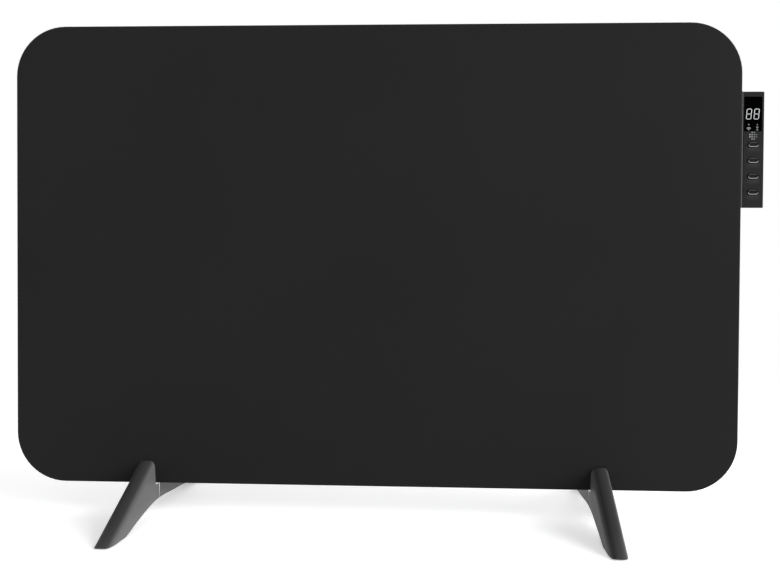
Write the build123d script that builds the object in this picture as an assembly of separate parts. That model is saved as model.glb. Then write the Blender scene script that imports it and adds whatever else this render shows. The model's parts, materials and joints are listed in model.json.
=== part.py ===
from build123d import *

from math import radians, tan
import os

# Free-standing infrared panel heater. Millimetres, +Z up, the panel faces -Y.
# The model is drawn about the panel's centre line and moved in X at the end, so that the origin
# lies on the floor under the middle of the whole heater, control box included.

# ---------------------------------------------------------------- driving dimensions
PANEL_WIDTH = 880.0
PANEL_HEIGHT = 560.0
PANEL_THICKNESS = 22.0
PANEL_CLEARANCE = 40.0  # floor to the panel's lower edge
CORNER_RADIUS = 61.0
PAN_SHEET = 1.0
PAN_EDGE_ROUND = 2.0
PAN_FLANGE = 12.0  # inward flange that the rear cover lies on
COVER_SHEET = 1.0
COVER_INSET = 1.5

# heating stack, from the front face backwards
FILM_THICKNESS = 0.5
FILM_INSET = 20.0
BUSBAR_THICKNESS = 0.3
BUSBAR_WIDTH = 10.0
BUSBAR_INSET = 32.0  # panel edge to the busbar's middle
FOIL_THICKNESS = 0.2
BOARD_THICKNESS = 9.8
BOARD_INSET = 22.0
CUTOUT_RADIUS = 8.0
CUTOUT_HEIGHT = 6.5
CUTOUT_X = 300.0
CUTOUT_DROP = 60.0  # panel's upper edge to the cut-outs
CUTOUT_POCKET_RADIUS = 12.0
CUTOUT_BLADE_PITCH = 9.0
CUTOUT_BLADE_WIDTH = 4.0
CUTOUT_BLADE_LENGTH = 2.5
CUTOUT_BLADE_SHEET = 0.8

# wires from the busbars to the control box
LEAD_RADIUS = 1.25
LEAD_LANE_DROP = 20.0  # panel's middle to the upper lane
LEAD_LANE_PITCH = 12.0
LEAD_BEND = 5.0
LEAD_OFFSET = 2.0  # port's middle to the middle of each wire
LEAD_SLOT_LENGTH = 16.0
LEAD_SLOT_WIDTH = 8.0
LEAD_SLOT_SHIFT = 2.0  # towards the panel's middle, to give the bend room
FOIL_HOLE_RADIUS = 3.0
PORT_RADIUS = 6.0
PORT_HEIGHT = 20.0  # control box's lower side to the port
GROMMET_LIP = 1.2
GROMMET_OVERLAP = 1.8
GROMMET_PLAY = 0.5

# rails and wall fixing
WALL_PITCH_X = 400.0
WALL_PITCH_Z = 300.0
INSERT_BORE_RADIUS = 2.5  # core of an M6 thread
INSERT_BODY_RADIUS = 4.45
INSERT_FLANGE_RADIUS = 6.0
INSERT_FLANGE = 0.8
INSERT_DEPTH = 7.8
RAIL_LENGTH = 700.0
RAIL_CROWN = 26.0
RAIL_WIDTH = 50.0
RAIL_SHEET = 1.0
BEAD_LENGTH = 600.0
BEAD_WIDTH = 14.0
BEAD_HEIGHT = 0.6
BEAD_SPACING = 90.0
COVER_SCREW_END = 110.0  # panel's side or lower edge to the first screw of a row
COVER_SCREW_FROM_BOX = 17.0  # control box to the screws above and below it
COVER_SCREW_LENGTH = 5.0

# control box at the panel's right edge
BOX_REACH = 26.0  # how far it stands out beside the panel
BOX_HEIGHT = 138.0
BOX_TOP_DROP = 82.0  # panel's upper edge to the box's top
BOX_BEHIND = 44.0  # how far it reaches in behind the panel
BOX_BACK_DEPTH = 24.0  # how far it stands out behind the panel
BOX_WALL = 1.8
BOX_ROUND = 1.2
BOX_SETBACK = 1.0  # its face lies this far behind the panel's face
WING_DRAFT = 6.0  # degrees, of the upper and lower sides beside the panel
TRIM_WIDTH = 1.2
TRIM_ROUND = 0.4
BASE_SHEET = 2.0
WINDOW_WIDTH = 21.0
WINDOW_HEIGHT = 41.0
WINDOW_DROP = 6.3
WINDOW_OFFSET = 11.7  # shell's left side to the window's middle
WINDOW_THICKNESS = 1.2
WINDOW_LEDGE = 1.0
WINDOW_PLAY = 0.05
DIGIT_DROP = 26.85  # box's top to the digits' middle
DIGIT_WIDTH = 6.3
DIGIT_HEIGHT = 12.7
DIGIT_STROKE = 0.9
DIGIT_PITCH = 8.9
DIGIT_SHIFT = 0.4  # the pair lies this far left of the window's middle
DIGIT_SLANT = 5.0  # degrees
SEGMENT_GAP = 0.22  # corner of a digit to the tip of each segment
SIGN_DEPTH = 0.4  # how deep the lit signs are let into the window
SIGN_PLAY = 0.03
LAMP_RADIUS = 0.6
LAMP_DROP = 12.4  # digits' middle to the indicator lamps
ICON_DROP = 19.3  # digits' middle to the foot of the icons
WAVE_RADII = (1.4, 2.75)
WAVE_STROKE = 0.95
WAVE_OPENING = 92.0  # degrees
WAVE_DOT = 0.6
HOURGLASS_WIDTH = 3.0
HOURGLASS_HEIGHT = 4.4
HOURGLASS_WAIST = 0.5
DIGIT_BLOCK_WIDTH = 18.0
DIGIT_BLOCK_HEIGHT = 20.0
LED_OFFSET = 5.0
LED_WIDTH = 3.2
LED_HEIGHT = 8.4
LED_DROP = 10.6  # digits' middle to the top of the indicator lights
DOT_PITCH = 2.6
DOT_RADIUS = 0.85
DOT_DROP = 52.5
DOT_OFFSET = 12.1
DOT_PLATE_WIDTH = 11.0
DOT_PLATE_TOP = 4.5  # dots' middle to its upper edge
DOT_PLATE_GAP = 0.15  # above the flange of the highest button
DOT_PLATE_THICKNESS = 1.0
BUTTON_WIDTH = 13.3
BUTTON_HEIGHT = 6.9
BUTTON_PITCH = 18.8
BUTTON_DROP = 63.0
BUTTON_OFFSET = 12.5
BUTTON_PROUD = 0.9
BUTTON_TRAVEL = 0.8
DISH_LIP = 0.75  # button's edge to its finger dish
DISH_DEPTH = 0.7
DISH_SLOPE = 48.0  # degrees, of the dish's sides from upright
BUTTON_FLANGE = 1.4
BUTTON_FLANGE_THICKNESS = 1.0
SWITCH_SIZE = 6.0
SWITCH_HEIGHT = 3.5
STEM_RADIUS = 1.7
CABLE_BORE_RADIUS = 4.0
GLAND_RADIUS = 6.0
GLAND_INSET = 26.0
GLAND_NECK_INSIDE = 8.0
GLAND_NECK_OUTSIDE = 9.0
GLAND_COLLAR = 3.0
GLAND_COLLAR_STEP = 2.0
GLAND_NUT_STEP = 2.4  # neck's surface to the corners of its nuts
GLAND_DOME = 6.0
GLAND_DOME_WALL = 1.5
GLAND_LOCK_NUT = 3.5
VENT_COUNT = 7
VENT_PITCH = 5.5
VENT_LENGTH = 30.0
VENT_WIDTH = 2.4
VENT_DROP = 34.0
VENT_START = 12.0

# circuit boards and what they carry
PCB_THICKNESS = 1.6
DISPLAY_BOARD_WIDTH = 19.0
DISPLAY_BOARD_HEIGHT = 130.0
DISPLAY_BOARD_DEPTH = 7.1  # shell's inner face to the board's front
DISPLAY_POST_RADIUS = 1.8
DISPLAY_POST_INSET = 2.6
DISPLAY_POST_END = 4.0  # board's lower end to the first posts
POWER_BOARD_WIDTH = 34.0
POWER_BOARD_HEIGHT = 118.0
POWER_BOARD_INSET = 8.0
POWER_BOARD_RAISE = 1.0
STANDOFF_HEIGHT = 4.0
STANDOFF_RADIUS = 2.5
STANDOFF_MARGIN = 0.5
BUZZER_RADIUS = 5.8
BUZZER_HEIGHT = 6.0
WIRELESS_WIDTH = 15.0
WIRELESS_HEIGHT = 20.0
WIRELESS_THICKNESS = 3.0
WIRELESS_RAISE = 2.0  # its middle above the digits' middle
SENSOR_OFFSET = 4.5
SENSOR_WIDTH = 3.0
SENSOR_HEIGHT = 8.0
SENSOR_RAISE = 34.0
COMPONENTS = {  # from the board's middle: across, up; then width, height, depth
    "power_supply": (0.0, 34.0, 26.0, 22.0, 12.5),
    "relay": (-4.0, 12.0, 19.0, 15.0, 12.5),
    "capacitor": (-3.0, -6.0, 18.0, 9.0, 12.0),
    "terminal_block": (2.0, -27.0, 24.0, 9.0, 9.0),
}
FUSE_OFFSET = 12.5
FUSE_RAISE = 3.0
FUSE_RADIUS = 2.6
FUSE_LENGTH = 20.0
FUSE_SEAT_WIDTH = 3.0
FUSE_SEAT_LENGTH = 18.0
FUSE_AXIS_HEIGHT = 3.2

# tip-over switch
PENDULUM_ARM = 14.0
PENDULUM_ARM_WIDTH = 4.0
PENDULUM_ARM_DEPTH = 3.0
PENDULUM_BOB_RADIUS = 4.0
PENDULUM_EYE_WALL = 1.8
PENDULUM_SIDE_PLAY = 0.3
TILT_PIN_RADIUS = 1.5
TILT_PIN_CLEARANCE = 0.05
TILT_PIN_FIT = 0.02
TILT_WALL = 1.5
TILT_WIDTH = 12.4
TILT_DEPTH = 22.0
TILT_GAP = 0.6  # beside the box's wall
TILT_BEHIND_SPLIT = 7.0
TILT_PIVOT_HEIGHT = 30.0
TILT_CHEEK = 5.0  # pivot to the top of the cheeks
TILT_SWITCH_WIDTH = 6.0
TILT_SWITCH_DEPTH = 12.8
TILT_SWITCH_GAP = 1.0

# feet
FOOT_SPACING = 553.0  # between the middles of the two feet
FOOT_WIDTH = 23.0
CROWN_WIDTH = 20.0  # across the ridge, before its edges are rounded
CROWN_RADIUS = 9.8
SIDE_DRAFT = 3.0  # degrees
TOE_HEIGHT = 3.5
TOE_ROUND = 9.0
PRONG_TOP = 70.0
PRONG_ROUND = 2.4
LEG_BASE = 1.2
LEG_WALL = 3.0
ARCH_TOP = 19.0
FRONT_REACH = 125.0  # panel's face to the tip of the leg
FRONT_SOLE = 38.0
FRONT_ARCH = ((46.0, 13.6), (78.0, 6.2))  # from the panel's middle plane; height
FRONT_ARCH_FALL = 0.16  # slope with which the arch meets the sole
REAR_REACH = 150.0
REAR_SOLE = 20.0
REAR_ARCH = ((44.0, 16.4), (93.0, 12.4))
REAR_ARCH_FALL = 0.35
SOLE_PAD_WIDTH = 13.0
SOLE_PAD_STRAIGHT = 2.0  # least straight length of a pad's sides
SOLE_PAD_RECESS = 1.0
SOLE_PAD_SIDE = 0.15
SOLE_PAD_INSET = 4.0
CLAMP_PAD_THICKNESS = 0.8
CLAMP_PAD_WIDTH = 18.0
CLAMP_PAD_HEIGHT = 19.0
CLAMP_PAD_RAISE = 4.0
BRACKET_FLANGE = 2.5
BRACKET_TOP_WIDTH = 3.6  # tongue where it leaves the flange
BRACKET_TIP_WIDTH = 1.2
BRACKET_SIDE = 0.2  # tongue inside the leg's side faces
BRACKET_SCREW_Y = 5.4
BRACKET_SCREW_RADIUS = 1.7
BRACKET_SCREW_CONE = 3.2
BRACKET_SCREW_SINK = 2.0
NUT_RADIUS = 3.4
NUT_SPIGOT = 2.6
NUT_HEIGHT = 6.0
BOLT_RADIUS = 2.45
BOLT_HEAD_RADIUS = 4.25
BOLT_HEAD_HEIGHT = 5.0
BOLT_SOCKET_RADIUS = 2.3
BOLT_SOCKET_DEPTH = 3.0
BOLT_Z = 28.0
BOLT_SEAT = 18.0  # from the panel's middle plane
BOLT_ACCESS_RADIUS = 5.0
BOLT_LENGTH = 28.0
INSERT_RADIUS = 3.5
INSERT_LENGTH = 10.0
INSERT_SETBACK = 0.2
INSERT_WELL = 1.0
RIB_THICKNESS = 2.0
CAVITY_CELLS = 3
CAVITY_START = 34.0

# fasteners and fits
HOLE_CLEARANCE = 0.05
SLIDE_CLEARANCE = 0.3
PILOT_FLOOR = 1.0  # left under a blind pilot hole
SCREW_HEAD_HEIGHT = 1.6
COVER_SCREW_RADIUS = 1.4
COVER_SCREW_HEAD = 3.0
CASE_SCREW_RADIUS = 1.4
CASE_SCREW_HEAD = 2.6
CASE_SCREW_GRIP = 4.0
CASE_WELL_PLAY = 0.2
POST_RADIUS = 3.4
POST_BLEND = 1.0  # how far the posts beside the panel run into the shell's walls
SHELL_POST_LENGTH = 8.0
WELL_FLOOR = 3.0
BASE_PILOT_FLOOR = 0.5
BASE_SCREW_LENGTH = 7.0
BASE_SCREW_INSET = 10.0  # box's left side to the middle screw
BASE_SCREW_BESIDE = 4.0  # pan's flange to the other two screws
BASE_SCREW_DROP = 34.0
BASE_SCREW_RAISE = 48.0
DISPLAY_SCREW_RADIUS = 0.75
DISPLAY_SCREW_LENGTH = 4.0
POWER_SCREW_RADIUS = 0.95
POWER_SCREW_LENGTH = 5.0

# ---------------------------------------------------------------- derived planes
FRONT = -PANEL_THICKNESS / 2
BACK = PANEL_THICKNESS / 2
PAN_BACK = BACK - COVER_SHEET
PANEL_BOTTOM = PANEL_CLEARANCE
PANEL_TOP = PANEL_BOTTOM + PANEL_HEIGHT
PANEL_MIDDLE = (PANEL_BOTTOM + PANEL_TOP) / 2
PANEL_EDGE = PANEL_WIDTH / 2

FILM_FRONT = FRONT + PAN_SHEET
BUSBAR_FRONT = FILM_FRONT + FILM_THICKNESS
FOIL_FRONT = BUSBAR_FRONT + BUSBAR_THICKNESS
BOARD_FRONT = FOIL_FRONT + FOIL_THICKNESS
BOARD_BACK = BOARD_FRONT + BOARD_THICKNESS
CUTOUT_Z = PANEL_TOP - CUTOUT_DROP

SHELL_LEFT = PANEL_EDGE + TRIM_WIDTH
BOX_RIGHT = PANEL_EDGE + BOX_REACH
BOX_LEFT = PANEL_EDGE - BOX_BEHIND
BOX_TOP = PANEL_TOP - BOX_TOP_DROP
BOX_BOTTOM = BOX_TOP - BOX_HEIGHT
BOX_MIDDLE = (BOX_TOP + BOX_BOTTOM) / 2
BOX_FACE = FRONT + BOX_SETBACK
BOX_SPLIT = BACK + BASE_SHEET
BOX_BACK = BACK + BOX_BACK_DEPTH
SHELL_INNER = BOX_FACE + BOX_WALL
SHELL_MIDDLE = (SHELL_LEFT + BOX_RIGHT) / 2
CAP_INNER = BOX_BACK - BOX_WALL
WING_SLOPE = tan(radians(WING_DRAFT))
WING_RISE = (BOX_BACK - BOX_FACE) * WING_SLOPE
DISPLAY_FRONT = SHELL_INNER + DISPLAY_BOARD_DEPTH
DISPLAY_BACK = DISPLAY_FRONT + PCB_THICKNESS
POWER_FRONT = BOX_SPLIT + STANDOFF_HEIGHT
POWER_BACK = POWER_FRONT + PCB_THICKNESS
POWER_X = BOX_LEFT + BOX_WALL + POWER_BOARD_INSET + POWER_BOARD_WIDTH / 2
POWER_Z = BOX_MIDDLE + POWER_BOARD_RAISE
GLAND_X = BOX_LEFT + GLAND_INSET
GLAND_Y = (BOX_SPLIT + CAP_INNER) / 2
GLAND_END = BOX_BOTTOM - GLAND_NECK_OUTSIDE
WINDOW_X = SHELL_LEFT + WINDOW_OFFSET
WINDOW_Z = BOX_TOP - WINDOW_DROP - WINDOW_HEIGHT / 2
DIGIT_Z = BOX_TOP - DIGIT_DROP
DOT_X = SHELL_LEFT + DOT_OFFSET
DOT_Z = BOX_TOP - DOT_DROP
BUTTON_X = SHELL_LEFT + BUTTON_OFFSET
BUTTON_NAMES = ["power_button", "up_button", "down_button", "timer_button"]
BUTTON_Z = [BOX_TOP - BUTTON_DROP - n * BUTTON_PITCH for n in range(len(BUTTON_NAMES))]

LEAD_PORT_X = (BOX_LEFT + PANEL_EDGE) / 2
LEAD_PORT_Z = BOX_BOTTOM + PORT_HEIGHT

TILT_X = SHELL_LEFT + BOX_WALL + TILT_GAP + TILT_WIDTH / 2
TILT_Y = BOX_SPLIT + TILT_BEHIND_SPLIT
TILT_FLOOR = BOX_BOTTOM + BOX_WALL + (TILT_Y + TILT_DEPTH / 2 - BOX_FACE) * WING_SLOPE
TILT_PIVOT_Z = TILT_FLOOR + TILT_PIVOT_HEIGHT

PRONG_Y = BACK + CLAMP_PAD_THICKNESS
SHOULDER_Z = PANEL_BOTTOM - BRACKET_FLANGE
FEET_X = {"left": -FOOT_SPACING / 2, "right": FOOT_SPACING / 2}

# from the panel's middle to the middle of the whole heater
MIDDLE_SHIFT = Pos(-BOX_REACH / 2, (FRONT_REACH - REAR_REACH) / 2, 0)

parts = {}


# ---------------------------------------------------------------- helpers
def block(x, y, z):
    """A box from its low and high limits along each axis."""
    size = (x[1] - x[0], y[1] - y[0], z[1] - z[0])
    return Pos((x[0] + x[1]) / 2, (y[0] + y[1]) / 2, (z[0] + z[1]) / 2) * Box(*size)


def through_y(sketch, y0, y1):
    """A front-view sketch, drawn in X and Z, made solid from y0 to y1."""
    plane = Plane(origin=(0, y1, 0), x_dir=(1, 0, 0), z_dir=(0, -1, 0))
    return extrude(plane * sketch, amount=y1 - y0)


def through_x(sketch, half):
    """A side-view sketch, drawn in Y and Z, made solid to both sides of X = 0."""
    return extrude(Plane.YZ * sketch, amount=half, both=True)


def rod_x(y, z, radius, x0, x1):
    return Pos((x0 + x1) / 2, y, z) * Rot(0, 90, 0) * Cylinder(radius, x1 - x0)


def rod_y(x, z, radius, y0, y1):
    return Pos(x, (y0 + y1) / 2, z) * Rot(90, 0, 0) * Cylinder(radius, y1 - y0)


def rod_z(x, y, radius, z0, z1):
    return Pos(x, y, (z0 + z1) / 2) * Cylinder(radius, z1 - z0)


def panel_outline(inset):
    """The panel's rounded rectangle, drawn in by an inset all round."""
    size = (PANEL_WIDTH - 2 * inset, PANEL_HEIGHT - 2 * inset)
    return Pos(0, PANEL_MIDDLE) * RectangleRounded(*size, CORNER_RADIUS - inset)


def pan_screw_y(x, z, radius, head, seat, length):
    """A pan-head screw that points to -Y, its head lying on the plane y = seat."""
    return rod_y(x, z, head, seat, seat + SCREW_HEAD_HEIGHT) + rod_y(x, z, radius, seat - length, seat)


# ---------------------------------------------------------------- panel
def cover_screw_places():
    """Screws round the rear cover, clear of the feet and of the control box."""
    inset = PAN_FLANGE / 2
    across = PANEL_EDGE - COVER_SCREW_END
    rows = [(x * across, z) for x in (-1, -1 / 3, 1 / 3, 1)
            for z in (PANEL_BOTTOM + inset, PANEL_TOP - inset)]
    low = PANEL_BOTTOM + COVER_SCREW_END
    high = BOX_TOP + COVER_SCREW_FROM_BOX
    middle = min((low + high) / 2, BOX_BOTTOM - COVER_SCREW_FROM_BOX)
    heights = (low, middle, high)
    sides = [(side * (PANEL_EDGE - inset), z) for side in (-1, 1) for z in heights]
    return rows + sides


def wall_places():
    return [(x * WALL_PITCH_X / 2, PANEL_MIDDLE + z * WALL_PITCH_Z / 2)
            for x in (-1, 1) for z in (-1, 1)]


def base_screw_places():
    beside_flange = PANEL_EDGE - PAN_FLANGE - BASE_SCREW_BESIDE
    return [(BOX_LEFT + BASE_SCREW_INSET, BOX_MIDDLE), (beside_flange, BOX_TOP - BASE_SCREW_DROP),
            (beside_flange, BOX_BOTTOM + BASE_SCREW_RAISE)]


def bracket_screw_places():
    return [(x, side * BRACKET_SCREW_Y) for x in FEET_X.values() for side in (-1, 1)]


def front_panel():
    pan = through_y(panel_outline(0), FRONT, PAN_BACK)
    pan = fillet(pan.faces().sort_by(Axis.Y)[0].edges(), PAN_EDGE_ROUND)
    inside = through_y(panel_outline(PAN_SHEET), FRONT + PAN_SHEET, PAN_BACK - PAN_SHEET)
    inside = fillet(inside.faces().sort_by(Axis.Y)[0].edges(), PAN_EDGE_ROUND - PAN_SHEET)
    pan -= inside
    pan -= through_y(panel_outline(PAN_FLANGE), PAN_BACK - PAN_SHEET, PAN_BACK)
    for x, z in cover_screw_places():
        pan -= rod_y(x, z, COVER_SCREW_RADIUS + HOLE_CLEARANCE, PAN_BACK - PAN_SHEET, PAN_BACK)
    for x, y in bracket_screw_places():
        pan -= rod_z(x, y, NUT_SPIGOT + HOLE_CLEARANCE, PANEL_BOTTOM, PANEL_BOTTOM + PAN_SHEET)
    return pan


def rear_cover():
    cover = through_y(panel_outline(COVER_INSET), PAN_BACK, BACK)
    for row in (-1, 0, 1):
        place = Pos(0, PANEL_MIDDLE + row * BEAD_SPACING)
        bead = place * SlotOverall(BEAD_LENGTH, BEAD_WIDTH)
        groove = place * SlotOverall(BEAD_LENGTH - 2 * COVER_SHEET, BEAD_WIDTH - 2 * COVER_SHEET)
        cover += through_y(bead, BACK, BACK + BEAD_HEIGHT)
        cover -= through_y(groove, PAN_BACK, PAN_BACK + BEAD_HEIGHT)
    for x, z in cover_screw_places():
        cover -= rod_y(x, z, COVER_SCREW_RADIUS + HOLE_CLEARANCE, PAN_BACK, BACK)
    for x, z in wall_places():
        cover -= rod_y(x, z, INSERT_BODY_RADIUS + HOLE_CLEARANCE, PAN_BACK, BACK)
    for x, z in base_screw_places():
        cover -= rod_y(x, z, CASE_SCREW_RADIUS + HOLE_CLEARANCE, PAN_BACK, BACK)
    return cover - rod_y(LEAD_PORT_X, LEAD_PORT_Z, PORT_RADIUS, PAN_BACK, BACK)


def wall_insert(x, z):
    """A flanged rivet nut, open at both ends."""
    nut = rod_y(x, z, INSERT_FLANGE_RADIUS, BACK, BACK + INSERT_FLANGE)
    nut += rod_y(x, z, INSERT_BODY_RADIUS, BACK - INSERT_DEPTH, BACK)
    return nut - rod_y(x, z, INSERT_BORE_RADIUS, BACK - INSERT_DEPTH, BACK + INSERT_FLANGE)


def mounting_rail(z):
    """A hat section: crown on the insulation board, flanges on the rear cover."""
    half = RAIL_CROWN / 2
    wall = RAIL_SHEET
    side = Polyline(
        (PAN_BACK, RAIL_WIDTH / 2), (PAN_BACK, half - wall), (BOARD_BACK + wall, half - wall),
        (BOARD_BACK + wall, wall - half), (PAN_BACK, wall - half), (PAN_BACK, -RAIL_WIDTH / 2),
        (PAN_BACK - wall, -RAIL_WIDTH / 2), (PAN_BACK - wall, -half), (BOARD_BACK, -half),
        (BOARD_BACK, half), (PAN_BACK - wall, half), (PAN_BACK - wall, RAIL_WIDTH / 2), close=True)
    return Pos(0, 0, z) * through_x(make_face(side), RAIL_LENGTH / 2)


def busbar_x(side):
    return side * (PANEL_EDGE - BUSBAR_INSET)


def lead_lane(side):
    """Height at which the lead of a side runs across the insulation board."""
    upper = PANEL_MIDDLE - LEAD_LANE_DROP
    return upper if side > 0 else upper - LEAD_LANE_PITCH


def thermal_cutout(side):
    """A bimetal disc switch that lies on the reflector foil, with its two blades."""
    x = side * CUTOUT_X
    body = rod_y(x, CUTOUT_Z, CUTOUT_RADIUS, BOARD_FRONT, BOARD_FRONT + CUTOUT_HEIGHT)
    top = BOARD_FRONT + CUTOUT_HEIGHT
    half_width = CUTOUT_BLADE_WIDTH / 2
    half_sheet = CUTOUT_BLADE_SHEET / 2
    for blade_x in (x - CUTOUT_BLADE_PITCH / 2, x + CUTOUT_BLADE_PITCH / 2):
        body += block((blade_x - half_width, blade_x + half_width), (top, top + CUTOUT_BLADE_LENGTH),
                      (CUTOUT_Z - half_sheet, CUTOUT_Z + half_sheet))
    return body


def heater_lead(side):
    """An insulated wire from a busbar, through the board, to the port of the control box."""
    lane = BOARD_BACK + LEAD_RADIUS
    start = busbar_x(side)
    x = LEAD_PORT_X + side * LEAD_OFFSET
    run_z = lead_lane(side)
    route = FilletPolyline(
        (start, FOIL_FRONT, run_z), (start, lane, run_z), (x, lane, run_z),
        (x, lane, LEAD_PORT_Z), (x, POWER_FRONT, LEAD_PORT_Z), radius=[LEAD_BEND] * 3)
    section = Plane(origin=route @ 0, z_dir=route % 0) * Circle(LEAD_RADIUS)
    return sweep(section, path=route)


def insulation_board():
    board = through_y(panel_outline(BOARD_INSET), BOARD_FRONT, BOARD_BACK)
    for side in (-1, 1):
        board -= rod_y(side * CUTOUT_X, CUTOUT_Z, CUTOUT_POCKET_RADIUS, BOARD_FRONT, BOARD_BACK)
        middle = Pos(busbar_x(side) - side * LEAD_SLOT_SHIFT, lead_lane(side))
        slot = middle * SlotOverall(LEAD_SLOT_LENGTH, LEAD_SLOT_WIDTH)
        board -= through_y(slot, BOARD_FRONT, BOARD_BACK)
    return board


def lead_grommet():
    ring = rod_y(LEAD_PORT_X, LEAD_PORT_Z, PORT_RADIUS - HOLE_CLEARANCE, PAN_BACK, BOX_SPLIT)
    for y0 in (PAN_BACK - GROMMET_LIP, BOX_SPLIT):
        ring += rod_y(LEAD_PORT_X, LEAD_PORT_Z, PORT_RADIUS + GROMMET_OVERLAP, y0, y0 + GROMMET_LIP)
    height = 2 * (LEAD_RADIUS + GROMMET_PLAY)
    mouth = Pos(LEAD_PORT_X, LEAD_PORT_Z) * SlotOverall(2 * LEAD_OFFSET + height, height)
    return ring - through_y(mouth, PAN_BACK - GROMMET_LIP, BOX_SPLIT + GROMMET_LIP)


# ---------------------------------------------------------------- control box
def wing(x, y, wall):
    """The box beside the panel, drawn in by a wall. Its lower and upper sides close in at the back."""
    rises = [(depth - BOX_FACE) * WING_SLOPE + wall for depth in y]
    side = make_face(Polyline(
        (y[0], BOX_BOTTOM + rises[0]), (y[1], BOX_BOTTOM + rises[1]), (y[1], BOX_TOP - rises[1]),
        (y[0], BOX_TOP - rises[0]), close=True))
    return Pos((x[0] + x[1]) / 2, 0, 0) * through_x(side, (x[1] - x[0]) / 2)


def corner_post_places():
    """Case screws: two behind the panel, clear of the cap, and two in the wing beside it."""
    clear = BOX_WALL + POST_RADIUS + SLIDE_CLEARANCE
    joined = BOX_WALL + POST_RADIUS - POST_BLEND
    behind = [(BOX_LEFT + clear, z) for z in (BOX_BOTTOM + clear, BOX_TOP - clear)]
    raised = WING_RISE + joined
    return behind + [(BOX_RIGHT - joined, z) for z in (BOX_BOTTOM + raised, BOX_TOP - raised)]


def display_post_places():
    left = SHELL_LEFT + BOX_WALL + DISPLAY_POST_INSET
    right = BOX_RIGHT - BOX_WALL - DISPLAY_POST_INSET
    bottom = BOX_MIDDLE - DISPLAY_BOARD_HEIGHT / 2 + DISPLAY_POST_END
    return [(left, bottom), (right, bottom), (left, DOT_Z), (right, DOT_Z)]


def dot_places():
    """A 4 x 4 field without its corners."""
    return [(DOT_X + (i - 1.5) * DOT_PITCH, DOT_Z + (k - 1.5) * DOT_PITCH)
            for i in range(4) for k in range(4) if not (i in (0, 3) and k in (0, 3))]


def edges_into_depth(solid):
    """The edges of a case that run from its front to its back."""
    return solid.edges().filter_by(lambda edge: edge.bounding_box().size.Y > BOX_ROUND)


def control_front_shell():
    shell = wing((SHELL_LEFT, BOX_RIGHT), (BOX_FACE, BOX_SPLIT), 0)
    front_edges = shell.faces().sort_by(Axis.Y)[0].edges()
    shell = fillet(front_edges + edges_into_depth(shell), BOX_ROUND)
    shell -= wing((SHELL_LEFT + BOX_WALL, BOX_RIGHT - BOX_WALL), (SHELL_INNER, BOX_SPLIT), BOX_WALL)
    window = Pos(WINDOW_X, WINDOW_Z) * Rectangle(WINDOW_WIDTH + 2 * WINDOW_PLAY,
                                                 WINDOW_HEIGHT + 2 * WINDOW_PLAY)
    light = Pos(WINDOW_X, WINDOW_Z) * Rectangle(WINDOW_WIDTH - 2 * WINDOW_LEDGE,
                                                WINDOW_HEIGHT - 2 * WINDOW_LEDGE)
    shell -= through_y(window, BOX_FACE, BOX_FACE + WINDOW_THICKNESS)
    shell -= through_y(light, BOX_FACE, SHELL_INNER)
    for x, z in dot_places():
        shell -= rod_y(x, z, DOT_RADIUS + HOLE_CLEARANCE, BOX_FACE, SHELL_INNER)
    for z in BUTTON_Z:
        hole = SlotOverall(BUTTON_WIDTH + 2 * SLIDE_CLEARANCE, BUTTON_HEIGHT + 2 * SLIDE_CLEARANCE)
        shell -= through_y(Pos(BUTTON_X, z) * hole, BOX_FACE, SHELL_INNER)
    for x, z in display_post_places():
        shell += rod_y(x, z, DISPLAY_POST_RADIUS, SHELL_INNER, DISPLAY_FRONT)
        shell -= rod_y(x, z, DISPLAY_SCREW_RADIUS + HOLE_CLEARANCE, SHELL_INNER + PILOT_FLOOR, DISPLAY_FRONT)
    post_start = BOX_SPLIT - SHELL_POST_LENGTH
    for x, z in corner_post_places()[2:]:
        shell += rod_y(x, z, POST_RADIUS, post_start, BOX_SPLIT)
        shell -= rod_y(x, z, CASE_SCREW_RADIUS + HOLE_CLEARANCE, post_start + PILOT_FLOOR, BOX_SPLIT)
    return shell


def control_base():
    """Plate behind the panel that carries the power board and closes the box."""
    base = block((BOX_LEFT, PANEL_EDGE), (BACK, BOX_SPLIT), (BOX_BOTTOM, BOX_TOP))
    for x, z in power_standoff_places():
        base += rod_y(x, z, STANDOFF_RADIUS, BOX_SPLIT, POWER_FRONT)
        base -= rod_y(x, z, POWER_SCREW_RADIUS + HOLE_CLEARANCE, BOX_SPLIT, POWER_FRONT)
    for x, z in corner_post_places()[:2]:
        base += rod_y(x, z, POST_RADIUS, BOX_SPLIT, POWER_FRONT)
        base -= rod_y(x, z, CASE_SCREW_RADIUS + HOLE_CLEARANCE, BACK + BASE_PILOT_FLOOR, POWER_FRONT)
    for x, z in base_screw_places():
        base -= rod_y(x, z, CASE_SCREW_RADIUS + HOLE_CLEARANCE, BACK, BOX_SPLIT)
    return base - rod_y(LEAD_PORT_X, LEAD_PORT_Z, PORT_RADIUS, BACK, BOX_SPLIT)


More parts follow.
